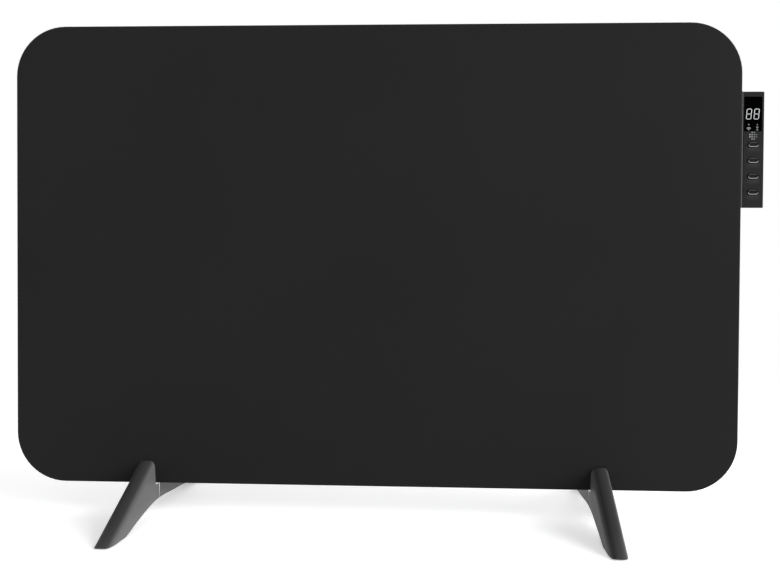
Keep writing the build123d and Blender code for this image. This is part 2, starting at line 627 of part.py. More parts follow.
def control_rear_cover():
    """Deep cap over the electronics, with screw wells, cooling slots and the cable hole."""
    cap = block((BOX_LEFT, PANEL_EDGE), (BOX_SPLIT, BOX_BACK), (BOX_BOTTOM, BOX_TOP))
    cap += wing((PANEL_EDGE, BOX_RIGHT), (BOX_SPLIT, BOX_BACK), 0)
    rear_edges = cap.faces().sort_by(Axis.Y)[-1].edges()
    outer = [edge for edge in edges_into_depth(cap) if abs(edge.center().X - PANEL_EDGE) > BOX_WALL]
    cap = fillet([*rear_edges, *outer], BOX_ROUND)
    inner_edge = PANEL_EDGE - BOX_WALL
    cap -= block((BOX_LEFT + BOX_WALL, inner_edge), (BOX_SPLIT, CAP_INNER),
                 (BOX_BOTTOM + BOX_WALL, BOX_TOP - BOX_WALL))
    cap -= wing((inner_edge, BOX_RIGHT - BOX_WALL), (BOX_SPLIT, CAP_INNER), BOX_WALL)
    for number, (x, z) in enumerate(corner_post_places()):
        foot = POWER_FRONT if number < 2 else BOX_SPLIT
        cap += rod_y(x, z, POST_RADIUS, foot, CAP_INNER)
        cap -= rod_y(x, z, CASE_SCREW_HEAD + CASE_WELL_PLAY, foot + WELL_FLOOR, BOX_BACK)
        cap -= rod_y(x, z, CASE_SCREW_RADIUS + HOLE_CLEARANCE, foot, foot + WELL_FLOOR)
    for column in range(VENT_COUNT):
        x = SHELL_MIDDLE - VENT_START - column * VENT_PITCH
        slot = Pos(x, BOX_TOP - VENT_DROP) * Rot(0, 0, 90) * SlotOverall(VENT_LENGTH, VENT_WIDTH)
        cap -= through_y(slot, CAP_INNER, BOX_BACK)
    return cap - rod_z(GLAND_X, GLAND_Y, GLAND_RADIUS + HOLE_CLEARANCE, BOX_BOTTOM, BOX_BOTTOM + BOX_WALL)


def power_standoff_places():
    inset = STANDOFF_RADIUS + STANDOFF_MARGIN
    dx = POWER_BOARD_WIDTH / 2 - inset
    dz = POWER_BOARD_HEIGHT / 2 - inset
    return [(POWER_X + i * dx, POWER_Z + k * dz) for i in (-1, 1) for k in (-1, 1)]


def circuit_board(middle, width, height, y0, holes, screw_radius):
    plate = through_y(Pos(*middle) * Rectangle(width, height), y0, y0 + PCB_THICKNESS)
    for x, z in holes:
        plate -= rod_y(x, z, screw_radius + HOLE_CLEARANCE, y0, y0 + PCB_THICKNESS)
    return plate


def button(z):
    """Pill-shaped cap with a finger dish, a retaining flange and the stem that works the switch."""
    cap = Pos(BUTTON_X, z) * SlotOverall(BUTTON_WIDTH, BUTTON_HEIGHT)
    cap = through_y(cap, BOX_FACE - BUTTON_PROUD, SHELL_INNER)
    cap = fillet(cap.faces().sort_by(Axis.Y)[0].edges(), BUTTON_PROUD / 2)
    rim = Plane(origin=(BUTTON_X, BOX_FACE - BUTTON_PROUD, z), x_dir=(1, 0, 0), z_dir=(0, 1, 0))
    dish = rim * SlotOverall(BUTTON_WIDTH - 2 * DISH_LIP, BUTTON_HEIGHT - 2 * DISH_LIP)
    cap -= extrude(dish, amount=DISH_DEPTH, taper=DISH_SLOPE)
    wide = SlotOverall(BUTTON_WIDTH + 2 * BUTTON_FLANGE, BUTTON_HEIGHT + 2 * BUTTON_FLANGE)
    flange_back = SHELL_INNER + BUTTON_FLANGE_THICKNESS
    cap += through_y(Pos(BUTTON_X, z) * wide, SHELL_INNER, flange_back)
    stem_end = DISPLAY_FRONT - SWITCH_HEIGHT - BUTTON_TRAVEL - HOLE_CLEARANCE
    return cap + rod_y(BUTTON_X, z, STEM_RADIUS, flange_back, stem_end)


def tact_switch(z):
    half = SWITCH_SIZE / 2
    return block((BUTTON_X - half, BUTTON_X + half), (DISPLAY_FRONT - SWITCH_HEIGHT, DISPLAY_FRONT),
                 (z - half, z + half))


def segment(start, end):
    """A pointed stroke of a digit, between two corners of it."""
    start, end = Vector(*start), Vector(*end)
    along = (end - start).normalized()
    side = Vector(-along.Y, along.X) * (DIGIT_STROKE / 2)
    near, far = start + along * SEGMENT_GAP, end - along * SEGMENT_GAP
    inner = along * (DIGIT_STROKE / 2)
    return [near, near + inner - side, far - inner - side, far, far - inner + side, near + inner + side]


def digit_outlines():
    """The seven strokes of each of the two slanted digits, as lists of X and Z."""
    half_x = (DIGIT_WIDTH - DIGIT_STROKE) / 2
    half_z = (DIGIT_HEIGHT - DIGIT_STROKE) / 2
    corners = [(i * half_x, k * half_z) for k in (-1, 0, 1) for i in (-1, 1)]
    pairs = [(0, 1), (2, 3), (4, 5), (0, 2), (2, 4), (1, 3), (3, 5)]
    lean = tan(radians(DIGIT_SLANT))
    outlines = []
    for place in (-0.5, 0.5):
        middle = WINDOW_X - DIGIT_SHIFT + place * DIGIT_PITCH
        for a, b in pairs:
            stroke = segment(corners[a], corners[b])
            outlines.append([(middle + q.X + q.Y * lean, DIGIT_Z + q.Y) for q in stroke])
    return outlines


def wave(x, z, radius):
    """A band of a ring that opens upwards."""
    whole = Circle(radius + WAVE_STROKE) - Circle(radius)
    reach = 2 * (radius + WAVE_STROKE)
    across = reach * tan(radians(WAVE_OPENING / 2))
    return Pos(x, z) * (whole & make_face(Polyline((0, 0), (across, reach), (-across, reach), close=True)))


def hourglass_half(x, z, up):
    """Upper or lower half of the timer's icon."""
    top, waist = HOURGLASS_WIDTH / 2, HOURGLASS_WAIST / 2
    height = up * HOURGLASS_HEIGHT / 2
    gap = up * SEGMENT_GAP / 2
    return Pos(x, z) * make_face(Polyline((-top, height), (top, height), (waist, gap), (-waist, gap), close=True))


def display_signs():
    """Outlines of the digits, and of the lamps with their icons, in the window's plane."""
    digits = [make_face(Polyline(*outline, close=True)) for outline in digit_outlines()]
    left, right = WINDOW_X - LED_OFFSET, WINDOW_X + LED_OFFSET
    foot = DIGIT_Z - ICON_DROP
    glass = foot + HOURGLASS_HEIGHT / 2
    icons = [Pos(x, DIGIT_Z - LAMP_DROP) * Circle(LAMP_RADIUS) for x in (left, right)]
    icons += [wave(left, foot, radius) for radius in WAVE_RADII]
    icons += [Pos(left, foot + WAVE_DOT) * Circle(WAVE_DOT)]
    icons += [hourglass_half(right, glass, up) for up in (-1, 1)]
    return digits, icons


def sign_inlays(outlines):
    return [through_y(outline, BOX_FACE, BOX_FACE + SIGN_DEPTH) for outline in outlines]


def display_window():
    """Smoked window with a pocket for each sign that shines in it."""
    half_x, half_z = WINDOW_WIDTH / 2, WINDOW_HEIGHT / 2
    window = block((WINDOW_X - half_x, WINDOW_X + half_x), (BOX_FACE, BOX_FACE + WINDOW_THICKNESS),
                   (WINDOW_Z - half_z, WINDOW_Z + half_z))
    for outlines in display_signs():
        for outline in outlines:
            window -= through_y(offset(outline, SIGN_PLAY), BOX_FACE, BOX_FACE + SIGN_DEPTH)
    return window


def dot_light_guide():
    half = DOT_PLATE_WIDTH / 2
    low = BUTTON_Z[0] + BUTTON_HEIGHT / 2 + BUTTON_FLANGE + DOT_PLATE_GAP
    plate = block((DOT_X - half, DOT_X + half), (SHELL_INNER, SHELL_INNER + DOT_PLATE_THICKNESS),
                  (low, DOT_Z + DOT_PLATE_TOP))
    for x, z in dot_places():
        plate += rod_y(x, z, DOT_RADIUS, BOX_FACE, SHELL_INNER)
    return plate


def gland_body():
    """Threaded neck through the wall with a round collar below it."""
    inside = BOX_BOTTOM + GLAND_NECK_INSIDE
    neck = rod_z(GLAND_X, GLAND_Y, GLAND_RADIUS, GLAND_END, inside)
    collar = rod_z(GLAND_X, GLAND_Y, GLAND_RADIUS + GLAND_COLLAR_STEP, BOX_BOTTOM - GLAND_COLLAR, BOX_BOTTOM)
    return neck + collar - rod_z(GLAND_X, GLAND_Y, CABLE_BORE_RADIUS, GLAND_END, inside)


def gland_nut(z0, z1):
    nut = Pos(GLAND_X, GLAND_Y, z0) * RegularPolygon(GLAND_RADIUS + GLAND_NUT_STEP, 6)
    return extrude(nut, amount=z1 - z0) - rod_z(GLAND_X, GLAND_Y, GLAND_RADIUS + HOLE_CLEARANCE, z0, z1)


def dome_nut():
    """Outer nut of the gland, closed below by a cone that grips the cable."""
    low = GLAND_END - GLAND_DOME
    cone = Pos(GLAND_X, GLAND_Y, (low + GLAND_END) / 2) * Cone(
        CABLE_BORE_RADIUS + GLAND_DOME_WALL, GLAND_RADIUS + GLAND_DOME_WALL, GLAND_DOME)
    cone -= rod_z(GLAND_X, GLAND_Y, CABLE_BORE_RADIUS, low, GLAND_END)
    return gland_nut(GLAND_END, BOX_BOTTOM - GLAND_COLLAR) + cone


# ---------------------------------------------------------------- tip-over switch
def tilt_housing():
    x = (TILT_X - TILT_WIDTH / 2, TILT_X + TILT_WIDTH / 2)
    y = (TILT_Y - TILT_DEPTH / 2, TILT_Y + TILT_DEPTH / 2)
    top = TILT_PIVOT_Z + TILT_CHEEK
    frame = block(x, y, (TILT_FLOOR, top))
    frame -= block((x[0] + TILT_WALL, x[1] - TILT_WALL), y, (TILT_FLOOR + TILT_WALL, top))
    return frame - rod_x(TILT_Y, TILT_PIVOT_Z, TILT_PIN_RADIUS + TILT_PIN_FIT, *x)


def tilt_pendulum():
    """Eye on the pin, flat arm and round weight."""
    half = TILT_WIDTH / 2 - TILT_WALL - PENDULUM_SIDE_PLAY
    x = (TILT_X - half, TILT_X + half)
    weight_z = TILT_PIVOT_Z - PENDULUM_ARM
    body = rod_x(TILT_Y, TILT_PIVOT_Z, TILT_PIN_RADIUS + PENDULUM_EYE_WALL, *x)
    body += block((TILT_X - PENDULUM_ARM_WIDTH / 2, TILT_X + PENDULUM_ARM_WIDTH / 2),
                  (TILT_Y - PENDULUM_ARM_DEPTH / 2, TILT_Y + PENDULUM_ARM_DEPTH / 2),
                  (weight_z, TILT_PIVOT_Z))
    body += rod_x(TILT_Y, weight_z, PENDULUM_BOB_RADIUS, *x)
    return body - rod_x(TILT_Y, TILT_PIVOT_Z, TILT_PIN_RADIUS + TILT_PIN_CLEARANCE, *x)


def tilt_microswitch():
    half_x, half_y = TILT_SWITCH_WIDTH / 2, TILT_SWITCH_DEPTH / 2
    top = TILT_PIVOT_Z - PENDULUM_ARM - PENDULUM_BOB_RADIUS - TILT_SWITCH_GAP
    return block((TILT_X - half_x, TILT_X + half_x), (TILT_Y - half_y, TILT_Y + half_y),
                 (TILT_FLOOR + TILT_WALL, top))


# ---------------------------------------------------------------- feet
def wedge_half(z):
    """Half thickness of the bracket's tongue at a height: it tapers towards the floor."""
    share = (z - ARCH_TOP) / (SHOULDER_Z - ARCH_TOP)
    return (BRACKET_TIP_WIDTH + share * (BRACKET_TOP_WIDTH - BRACKET_TIP_WIDTH)) / 2


def ridge_height(y, reach):
    return PRONG_TOP - (PRONG_TOP - TOE_HEIGHT) * (y - BACK) / reach


def crowned_bar(reach, wall):
    """Round-topped bar with drafted sides along the ridge, drawn in by a wall."""
    top_half = CROWN_WIDTH / 2 - wall
    depth = 2 * PRONG_TOP
    foot_half = top_half + depth * tan(radians(SIDE_DRAFT))
    section = make_face(Polyline(
        (-top_half, wall), (top_half, wall), (foot_half, wall + depth), (-foot_half, wall + depth),
        close=True))
    section = fillet(section.vertices().group_by(Axis.Y)[0], CROWN_RADIUS - wall)
    ridge = Vector(0, reach, TOE_HEIGHT - PRONG_TOP)
    plane = Plane(origin=(0, BACK, PRONG_TOP), x_dir=(1, 0, 0), z_dir=ridge)
    return extrude(plane * section, amount=2 * reach, both=True)


def leg_side(reach, sole, arch, fall):
    """Side view: sloping ridge, upright prong, tapered seat on the tongue and arched underside."""
    toe = BACK + reach
    sole_start = (toe - sole, LEG_BASE)
    tongue_side = (wedge_half(ARCH_TOP), ARCH_TOP)
    prong_end = (PRONG_Y, ridge_height(PRONG_Y, reach))
    rim = Polyline(
        sole_start, (toe, LEG_BASE), (toe, TOE_HEIGHT), prong_end, (PRONG_Y, SHOULDER_Z),
        (wedge_half(SHOULDER_Z), SHOULDER_Z), tongue_side)
    underside = Spline(tongue_side, *arch, sole_start, tangents=((1, 0), (1, -fall)))
    side = make_face(rim + underside)
    return fillet(side.vertices().sort_by_distance((*prong_end, 0))[0], PRONG_ROUND)


def leg_plan(reach):
    """Plan view: straight sides and a rounded toe."""
    toe = BACK + reach
    plan = Pos(0, toe / 2) * Rectangle(FOOT_WIDTH, toe)
    plan = fillet(plan.vertices().group_by(Axis.Y)[-1], TOE_ROUND)
    return extrude(plan, amount=PRONG_TOP)


def sole_pad(reach, sole, clearance):
    length = sole - 2 * SOLE_PAD_INSET
    width = min(SOLE_PAD_WIDTH, length - SOLE_PAD_STRAIGHT)
    outline = SlotOverall(length + 2 * clearance, width + 2 * clearance)
    outline = Pos(0, BACK + reach - sole / 2) * Rot(0, 0, 90) * outline
    return extrude(outline, amount=LEG_BASE + SOLE_PAD_RECESS)


def cored_leg(reach, sole, arch, fall):
    """A moulded leg, hollow from below between its tongue block and its sole."""
    leg = through_x(leg_side(reach, sole, arch, fall), FOOT_WIDTH) & crowned_bar(reach, 0) & leg_plan(reach)
    hollow = crowned_bar(reach, LEG_WALL)
    end = BACK + reach - sole - LEG_WALL
    pitch = (end - CAVITY_START + RIB_THICKNESS) / CAVITY_CELLS
    for cell in range(CAVITY_CELLS):
        start = CAVITY_START + cell * pitch
        leg -= hollow & block((-FOOT_WIDTH, FOOT_WIDTH), (start, start + pitch - RIB_THICKNESS),
                              (-1, PRONG_TOP))
    return leg - sole_pad(reach, sole, SOLE_PAD_SIDE)


def front_leg():
    """It holds the brass insert of the leg bolt. Drawn backwards, then mirrored."""
    leg = cored_leg(FRONT_REACH, FRONT_SOLE, FRONT_ARCH, FRONT_ARCH_FALL)
    leg -= rod_y(0, BOLT_Z, INSERT_RADIUS, 0, wedge_half(BOLT_Z) + INSERT_LENGTH + INSERT_WELL)
    return mirror(leg, about=Plane.XZ)


def rear_leg():
    """Longer and with a higher arch; the leg bolt goes in from behind through a well."""
    leg = cored_leg(REAR_REACH, REAR_SOLE, REAR_ARCH, REAR_ARCH_FALL)
    leg -= rod_y(0, BOLT_Z, BOLT_RADIUS + HOLE_CLEARANCE, 0, BOLT_SEAT)
    return leg - rod_y(0, BOLT_Z, BOLT_ACCESS_RADIUS, BOLT_SEAT, BACK + REAR_REACH)


def countersink(x, y, clearance):
    return Pos(x, y, SHOULDER_Z + BRACKET_SCREW_SINK / 2) * Cone(
        BRACKET_SCREW_CONE + clearance, BRACKET_SCREW_RADIUS + clearance, BRACKET_SCREW_SINK)


def foot_bracket():
    """Flange screwed under the panel, with a wedge-shaped tongue between the legs."""
    top, tip = wedge_half(SHOULDER_Z), wedge_half(ARCH_TOP)
    side = make_face(Polyline(
        (FRONT, PANEL_BOTTOM), (BACK, PANEL_BOTTOM), (BACK, SHOULDER_Z), (top, SHOULDER_Z),
        (tip, ARCH_TOP), (-tip, ARCH_TOP), (-top, SHOULDER_Z), (FRONT, SHOULDER_Z), close=True))
    bracket = through_x(side, FOOT_WIDTH / 2 - BRACKET_SIDE)
    for y in (-BRACKET_SCREW_Y, BRACKET_SCREW_Y):
        bracket -= rod_z(0, y, BRACKET_SCREW_RADIUS + HOLE_CLEARANCE, SHOULDER_Z, PANEL_BOTTOM)
        bracket -= countersink(0, y, HOLE_CLEARANCE)
    return bracket - rod_y(0, BOLT_Z, BOLT_RADIUS + HOLE_CLEARANCE, -top, top)


def bracket_screw(x, y):
    """Countersunk screw, flush under the flange, up into its clinch nut."""
    shank = rod_z(x, y, BRACKET_SCREW_RADIUS, SHOULDER_Z + BRACKET_SCREW_SINK, PANEL_BOTTOM + NUT_HEIGHT)
    return countersink(x, y, 0) + shank


def clinch_nut(x, y):
    seat = PANEL_BOTTOM + PAN_SHEET
    nut = rod_z(x, y, NUT_RADIUS, seat, seat + NUT_HEIGHT)
    nut += rod_z(x, y, NUT_SPIGOT, PANEL_BOTTOM, seat)
    return nut - rod_z(x, y, BRACKET_SCREW_RADIUS + HOLE_CLEARANCE, PANEL_BOTTOM, seat + NUT_HEIGHT)


def leg_bolt(x):
    """Hexagon-socket bolt, its head at the bottom of the rear leg's well."""
    end = BOLT_SEAT + BOLT_HEAD_HEIGHT
    bolt = rod_y(x, BOLT_Z, BOLT_HEAD_RADIUS, BOLT_SEAT, end)
    bolt += rod_y(x, BOLT_Z, BOLT_RADIUS, BOLT_SEAT - BOLT_LENGTH, BOLT_SEAT)
    socket = Pos(x, BOLT_Z) * RegularPolygon(BOLT_SOCKET_RADIUS, 6)
    return bolt - through_y(socket, end - BOLT_SOCKET_DEPTH, end)


def leg_insert(x):
    """Brass bush moulded into the front leg; the bolt's thread ends in it."""
    mouth = -wedge_half(BOLT_Z) - INSERT_SETBACK
    sleeve = rod_y(x, BOLT_Z, INSERT_RADIUS - HOLE_CLEARANCE / 2, mouth - INSERT_LENGTH, mouth)
    return sleeve - rod_y(x, BOLT_Z, BOLT_RADIUS + HOLE_CLEARANCE, mouth - INSERT_LENGTH, mouth)


def clamp_pad(x, side):
    low = PANEL_BOTTOM + CLAMP_PAD_RAISE
    y = sorted((side * BACK, side * PRONG_Y))
    return block((x - CLAMP_PAD_WIDTH / 2, x + CLAMP_PAD_WIDTH / 2), y, (low, low + CLAMP_PAD_HEIGHT))


# ---------------------------------------------------------------- assembly
parts["front_panel"] = front_panel()
parts["heating_film"] = through_y(panel_outline(FILM_INSET), FILM_FRONT, BUSBAR_FRONT)
parts["busbars"] = [
    block((busbar_x(side) - BUSBAR_WIDTH / 2, busbar_x(side) + BUSBAR_WIDTH / 2),
          (BUSBAR_FRONT, FOIL_FRONT), (PANEL_BOTTOM + CORNER_RADIUS, PANEL_TOP - CORNER_RADIUS))
    for side in (-1, 1)]
foil = through_y(panel_outline(BOARD_INSET), FOIL_FRONT, BOARD_FRONT)
for side in (-1, 1):
    foil -= rod_y(busbar_x(side), lead_lane(side), FOIL_HOLE_RADIUS, FOIL_FRONT, BOARD_FRONT)
parts["reflector_foil"] = foil
parts["insulation_board"] = insulation_board()
parts["mounting_rails"] = [mounting_rail(z) for z in sorted({z for x, z in wall_places()})]
parts["rear_cover"] = rear_cover()
parts["rear_cover_screws"] = [
    pan_screw_y(x, z, COVER_SCREW_RADIUS, COVER_SCREW_HEAD, BACK, COVER_SCREW_LENGTH)
    for x, z in cover_screw_places()]
parts["wall_inserts"] = [wall_insert(x, z) for x, z in wall_places()]
parts["thermal_cutouts"] = [thermal_cutout(side) for side in (-1, 1)]
parts["heater_leads"] = [heater_lead(side) for side in (-1, 1)]
parts["lead_grommet"] = lead_grommet()

trim = wing((PANEL_EDGE, SHELL_LEFT), (BOX_FACE, BOX_SPLIT), 0)
parts["edge_trim"] = fillet(trim.edges().filter_by(Axis.Z).sort_by(Axis.Y)[:2], TRIM_ROUND)
parts["control_front_shell"] = control_front_shell()
parts["display_window"] = display_window()
digits, icons = display_signs()
parts["digit_segments"] = sign_inlays(digits)
parts["indicator_icons"] = sign_inlays(icons)
parts["control_base"] = control_base()
parts["control_rear_cover"] = control_rear_cover()
case_seats = [POWER_FRONT, POWER_FRONT, BOX_SPLIT, BOX_SPLIT]
parts["case_screws"] = [
    pan_screw_y(x, z, CASE_SCREW_RADIUS, CASE_SCREW_HEAD, seat + WELL_FLOOR, WELL_FLOOR + CASE_SCREW_GRIP)
    for (x, z), seat in zip(corner_post_places(), case_seats)]
parts["base_screws"] = [
    pan_screw_y(x, z, CASE_SCREW_RADIUS, CASE_SCREW_HEAD, BOX_SPLIT, BASE_SCREW_LENGTH)
    for x, z in base_screw_places()]

parts["display_board"] = circuit_board(
    (SHELL_MIDDLE, BOX_MIDDLE), DISPLAY_BOARD_WIDTH, DISPLAY_BOARD_HEIGHT, DISPLAY_FRONT,
    display_post_places(), DISPLAY_SCREW_RADIUS)
parts["power_board"] = circuit_board(
    (POWER_X, POWER_Z), POWER_BOARD_WIDTH, POWER_BOARD_HEIGHT, POWER_FRONT,
    power_standoff_places(), POWER_SCREW_RADIUS)
display_screws = [
    pan_screw_y(x, z, DISPLAY_SCREW_RADIUS, 2 * DISPLAY_SCREW_RADIUS, DISPLAY_BACK, DISPLAY_SCREW_LENGTH)
    for x, z in display_post_places()]
power_screws = [
    pan_screw_y(x, z, POWER_SCREW_RADIUS, 2 * POWER_SCREW_RADIUS, POWER_BACK, POWER_SCREW_LENGTH)
    for x, z in power_standoff_places()]
parts["board_screws"] = display_screws + power_screws
parts["digit_display"] = block(
    (WINDOW_X - DIGIT_BLOCK_WIDTH / 2, WINDOW_X + DIGIT_BLOCK_WIDTH / 2), (SHELL_INNER, DISPLAY_FRONT),
    (DIGIT_Z - DIGIT_BLOCK_HEIGHT / 2, DIGIT_Z + DIGIT_BLOCK_HEIGHT / 2))
parts["indicator_leds"] = [
    block((x - LED_WIDTH / 2, x + LED_WIDTH / 2), (SHELL_INNER, DISPLAY_FRONT),
          (DIGIT_Z - LED_DROP - LED_HEIGHT, DIGIT_Z - LED_DROP))
    for x in (WINDOW_X - LED_OFFSET, WINDOW_X + LED_OFFSET)]
parts["dot_light_guide"] = dot_light_guide()
parts["tact_switches"] = [tact_switch(z) for z in BUTTON_Z]
parts["buzzer"] = rod_y(SHELL_MIDDLE, DOT_Z, BUZZER_RADIUS, DISPLAY_BACK, DISPLAY_BACK + BUZZER_HEIGHT)
parts["wireless_module"] = block(
    (SHELL_MIDDLE - WIRELESS_WIDTH / 2, SHELL_MIDDLE + WIRELESS_WIDTH / 2),
    (DISPLAY_BACK, DISPLAY_BACK + WIRELESS_THICKNESS),
    (DIGIT_Z + WIRELESS_RAISE - WIRELESS_HEIGHT / 2, DIGIT_Z + WIRELESS_RAISE + WIRELESS_HEIGHT / 2))
sensor_x, sensor_z = SHELL_MIDDLE + SENSOR_OFFSET, BOX_BOTTOM + SENSOR_RAISE
parts["room_sensor"] = block(
    (sensor_x - SENSOR_WIDTH / 2, sensor_x + SENSOR_WIDTH / 2), (DISPLAY_BACK, DISPLAY_BACK + SENSOR_WIDTH),
    (sensor_z - SENSOR_HEIGHT / 2, sensor_z + SENSOR_HEIGHT / 2))
for name, (across, up, width, height, depth) in COMPONENTS.items():
    x, z = POWER_X + across, POWER_Z + up
    parts[name] = block((x - width / 2, x + width / 2), (POWER_BACK, POWER_BACK + depth),
                        (z - height / 2, z + height / 2))
fuse_x, fuse_z = POWER_X + FUSE_OFFSET, POWER_Z + FUSE_RAISE
fuse_seat = block(
    (fuse_x - FUSE_SEAT_WIDTH / 2, fuse_x + FUSE_SEAT_WIDTH / 2), (POWER_BACK, POWER_BACK + FUSE_AXIS_HEIGHT),
    (fuse_z - FUSE_SEAT_LENGTH / 2, fuse_z + FUSE_SEAT_LENGTH / 2))
parts["fuse"] = fuse_seat + rod_z(
    fuse_x, POWER_BACK + FUSE_AXIS_HEIGHT, FUSE_RADIUS, fuse_z - FUSE_LENGTH / 2, fuse_z + FUSE_LENGTH / 2)
lock_nut_z = BOX_BOTTOM + BOX_WALL
parts["cable_gland"] = gland_body()
parts["gland_nuts"] = [dome_nut(), gland_nut(lock_nut_z, lock_nut_z + GLAND_LOCK_NUT)]
for name, z in zip(BUTTON_NAMES, BUTTON_Z):
    parts[name] = button(z)

parts["tilt_housing"] = tilt_housing()
parts["tilt_pin"] = rod_x(
    TILT_Y, TILT_PIVOT_Z, TILT_PIN_RADIUS, TILT_X - TILT_WIDTH / 2, TILT_X + TILT_WIDTH / 2)
parts["tilt_pendulum"] = tilt_pendulum()
parts["tilt_microswitch"] = tilt_microswitch()

for side, x in FEET_X.items():
    parts[side + "_front_leg"] = Pos(x, 0, 0) * front_leg()
    parts[side + "_rear_leg"] = Pos(x, 0, 0) * rear_leg()
    parts[side + "_foot_bracket"] = Pos(x, 0, 0) * foot_bracket()
feet = list(FEET_X.values())
parts["bracket_screws"] = [bracket_screw(x, y) for x, y in bracket_screw_places()]
parts["clinch_nuts"] = [clinch_nut(x, y) for x, y in bracket_screw_places()]
parts["leg_bolts"] = [leg_bolt(x) for x in feet]
parts["leg_inserts"] = [leg_insert(x) for x in feet]
parts["clamp_pads"] = [clamp_pad(x, side) for x in feet for side in (-1, 1)]
front_pad = mirror(sole_pad(FRONT_REACH, FRONT_SOLE, 0), about=Plane.XZ)
rear_pad = sole_pad(REAR_REACH, REAR_SOLE, 0)
parts["sole_pads"] = [Pos(x, 0, 0) * pad for x in feet for pad in (front_pad, rear_pad)]

os.makedirs("parts", exist_ok=True)
for name, piece in parts.items():
    pieces = piece if isinstance(piece, list) else [piece]
    solids = [solid for item in pieces for solid in item.solids()]
    shape = solids[0] if len(solids) == 1 else Compound(solids)
    export_step(MIDDLE_SHIFT * shape, "parts/" + name + ".step")
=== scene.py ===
import json
from math import atan2, cos, pi, radians, sin

import bmesh
import bpy
from mathutils import Matrix, Vector


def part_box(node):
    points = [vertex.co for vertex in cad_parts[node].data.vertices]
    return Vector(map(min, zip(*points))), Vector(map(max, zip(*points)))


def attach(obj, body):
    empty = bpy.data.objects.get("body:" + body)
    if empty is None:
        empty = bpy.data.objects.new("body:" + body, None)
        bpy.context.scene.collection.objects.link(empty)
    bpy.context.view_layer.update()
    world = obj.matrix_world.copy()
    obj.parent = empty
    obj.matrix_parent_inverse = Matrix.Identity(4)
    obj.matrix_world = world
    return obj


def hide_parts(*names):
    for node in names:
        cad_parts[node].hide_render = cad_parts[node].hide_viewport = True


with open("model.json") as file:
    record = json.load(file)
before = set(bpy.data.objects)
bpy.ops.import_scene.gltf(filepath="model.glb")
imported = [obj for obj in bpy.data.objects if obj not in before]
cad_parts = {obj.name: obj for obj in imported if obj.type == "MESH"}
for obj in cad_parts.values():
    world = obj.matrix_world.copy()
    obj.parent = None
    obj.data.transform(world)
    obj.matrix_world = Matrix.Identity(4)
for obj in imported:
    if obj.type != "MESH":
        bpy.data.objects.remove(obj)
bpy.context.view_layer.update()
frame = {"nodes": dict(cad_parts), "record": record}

# Looks of a free-standing infrared panel heater: coated metal panel, moulded feet and a control box
# with a lit display. Lengths are in metres. X runs along the panel, the panel faces -Y, +Z is up.

MM = 0.001
ROOT = "heater"
BUTTONS = ("power_button", "up_button", "down_button", "timer_button")

# ------------------------------------------------------------------ camera, from the photograph
PHOTO_WIDTH = 780
CAMERA_PLACE = Vector((0.0938, -0.9655, 0.2925))
CAMERA_YAW = radians(-2.362)
CAMERA_PITCH = radians(0.953)
CAMERA_ROLL = radians(0.372)
FOCAL_PIXELS = 780
AXIS_PIXEL = 427.5              # column of the picture that the optical axis meets
SENSOR = 36.0                   # in millimetres, as Blender takes it
CAMERA_CLIP = 0.05

# ------------------------------------------------------------------ surface colours, linear
PANEL_TONE = (0.0142, 0.0142, 0.0144)
COVER_TONE = (0.019, 0.019, 0.0195)
BOX_TONE = (0.0125, 0.0125, 0.0128)
TRIM_TONE = (0.09, 0.09, 0.092)
BUTTON_TONE = (0.0042, 0.0042, 0.0044)
LEG_TONE = (0.031, 0.031, 0.0314)
WINDOW_TONE = (0.0002, 0.0002, 0.00025)
LIT_TONE = (0.70, 0.72, 0.73)
UNLIT_TONE = (0.02, 0.02, 0.02)
ZINC_TONE = (0.5, 0.5, 0.51)
# paler copy of the zinc tone, a painted highlight on the foot brackets
HIGHLIGHT_ZINC_TONE = (0.8, 0.8, 0.81)
INSERT_TONE = (0.4, 0.4, 0.41)
DARK_STEEL_TONE = (0.06, 0.06, 0.062)
BRASS_TONE = (0.62, 0.43, 0.16)
COPPER_TONE = (0.75, 0.33, 0.17)
FOIL_TONE = (0.78, 0.78, 0.79)
WOOL_TONE = (0.44, 0.36, 0.15)
MASK_TONE = (0.007, 0.075, 0.028)
SOOT_TONE = (0.012, 0.012, 0.012)
WHITE_TONE = (0.62, 0.62, 0.6)
WIRE_TONE = (0.4, 0.012, 0.01)
FROST_TONE = (0.6, 0.6, 0.61)
GLASS_TONE = (0.85, 0.9, 0.9)
FLOOR_TONE = (0.93, 0.93, 0.93)

# ------------------------------------------------------------------ texture scales, cells a metre
MOULD_DRIFT = 9
POWDER_DRIFT = 5
ORANGE_PEEL = 850
POWDER_SPECKS = 4200
METAL_HAIR = 900
METAL_BLOTCHES = 60
TURNED_RINGS = 900
RUBBER_GRAIN = 2500
RUBBER_DUST = 180
LIT_FROST = 1800
TRACK_BANDS = 190
TRACK_PATCHES = 75
TRACK_GAPS = 160
BOARD_WEAVE = 1500
WOOL_FIBRES = 900
FOIL_CREASES = 55
FOIL_GRAIN = 700
WINDOW_WIPES = 240
GLASS_HAZE = 1200
FLOOR_SPECKS = 40

# ------------------------------------------------------------------ painted glow below the buttons, and legs paler towards the floor
GLOW_SPILL_DROP = 4.5 * MM             # from a button's middle down to the palest place
GLOW_SPILL_ACROSS = (4.0 * MM, 9.5 * MM)
GLOW_SPILL_DOWN = 5.5 * MM
GLOW_SPILL_GAIN = 2.3
FLOOR_END_GAIN = 1.3
FLOOR_END_HEIGHTS = (4 * MM, 26 * MM)


# ------------------------------------------------------------------ material helpers
def start_material(name):
    material = bpy.data.materials.new(name)
    material.use_nodes = True
    tree = material.node_tree
    return material, tree, tree.nodes["Principled BSDF"]


def add(tree, kind, **values):
    """A node, with its properties and its unlinked inputs set by name."""
    node = tree.nodes.new(kind)
    for key, value in values.items():
        if hasattr(node, key):
            setattr(node, key, value)
        else:
            node.inputs[key.replace("_", " ")].default_value = value
    return node


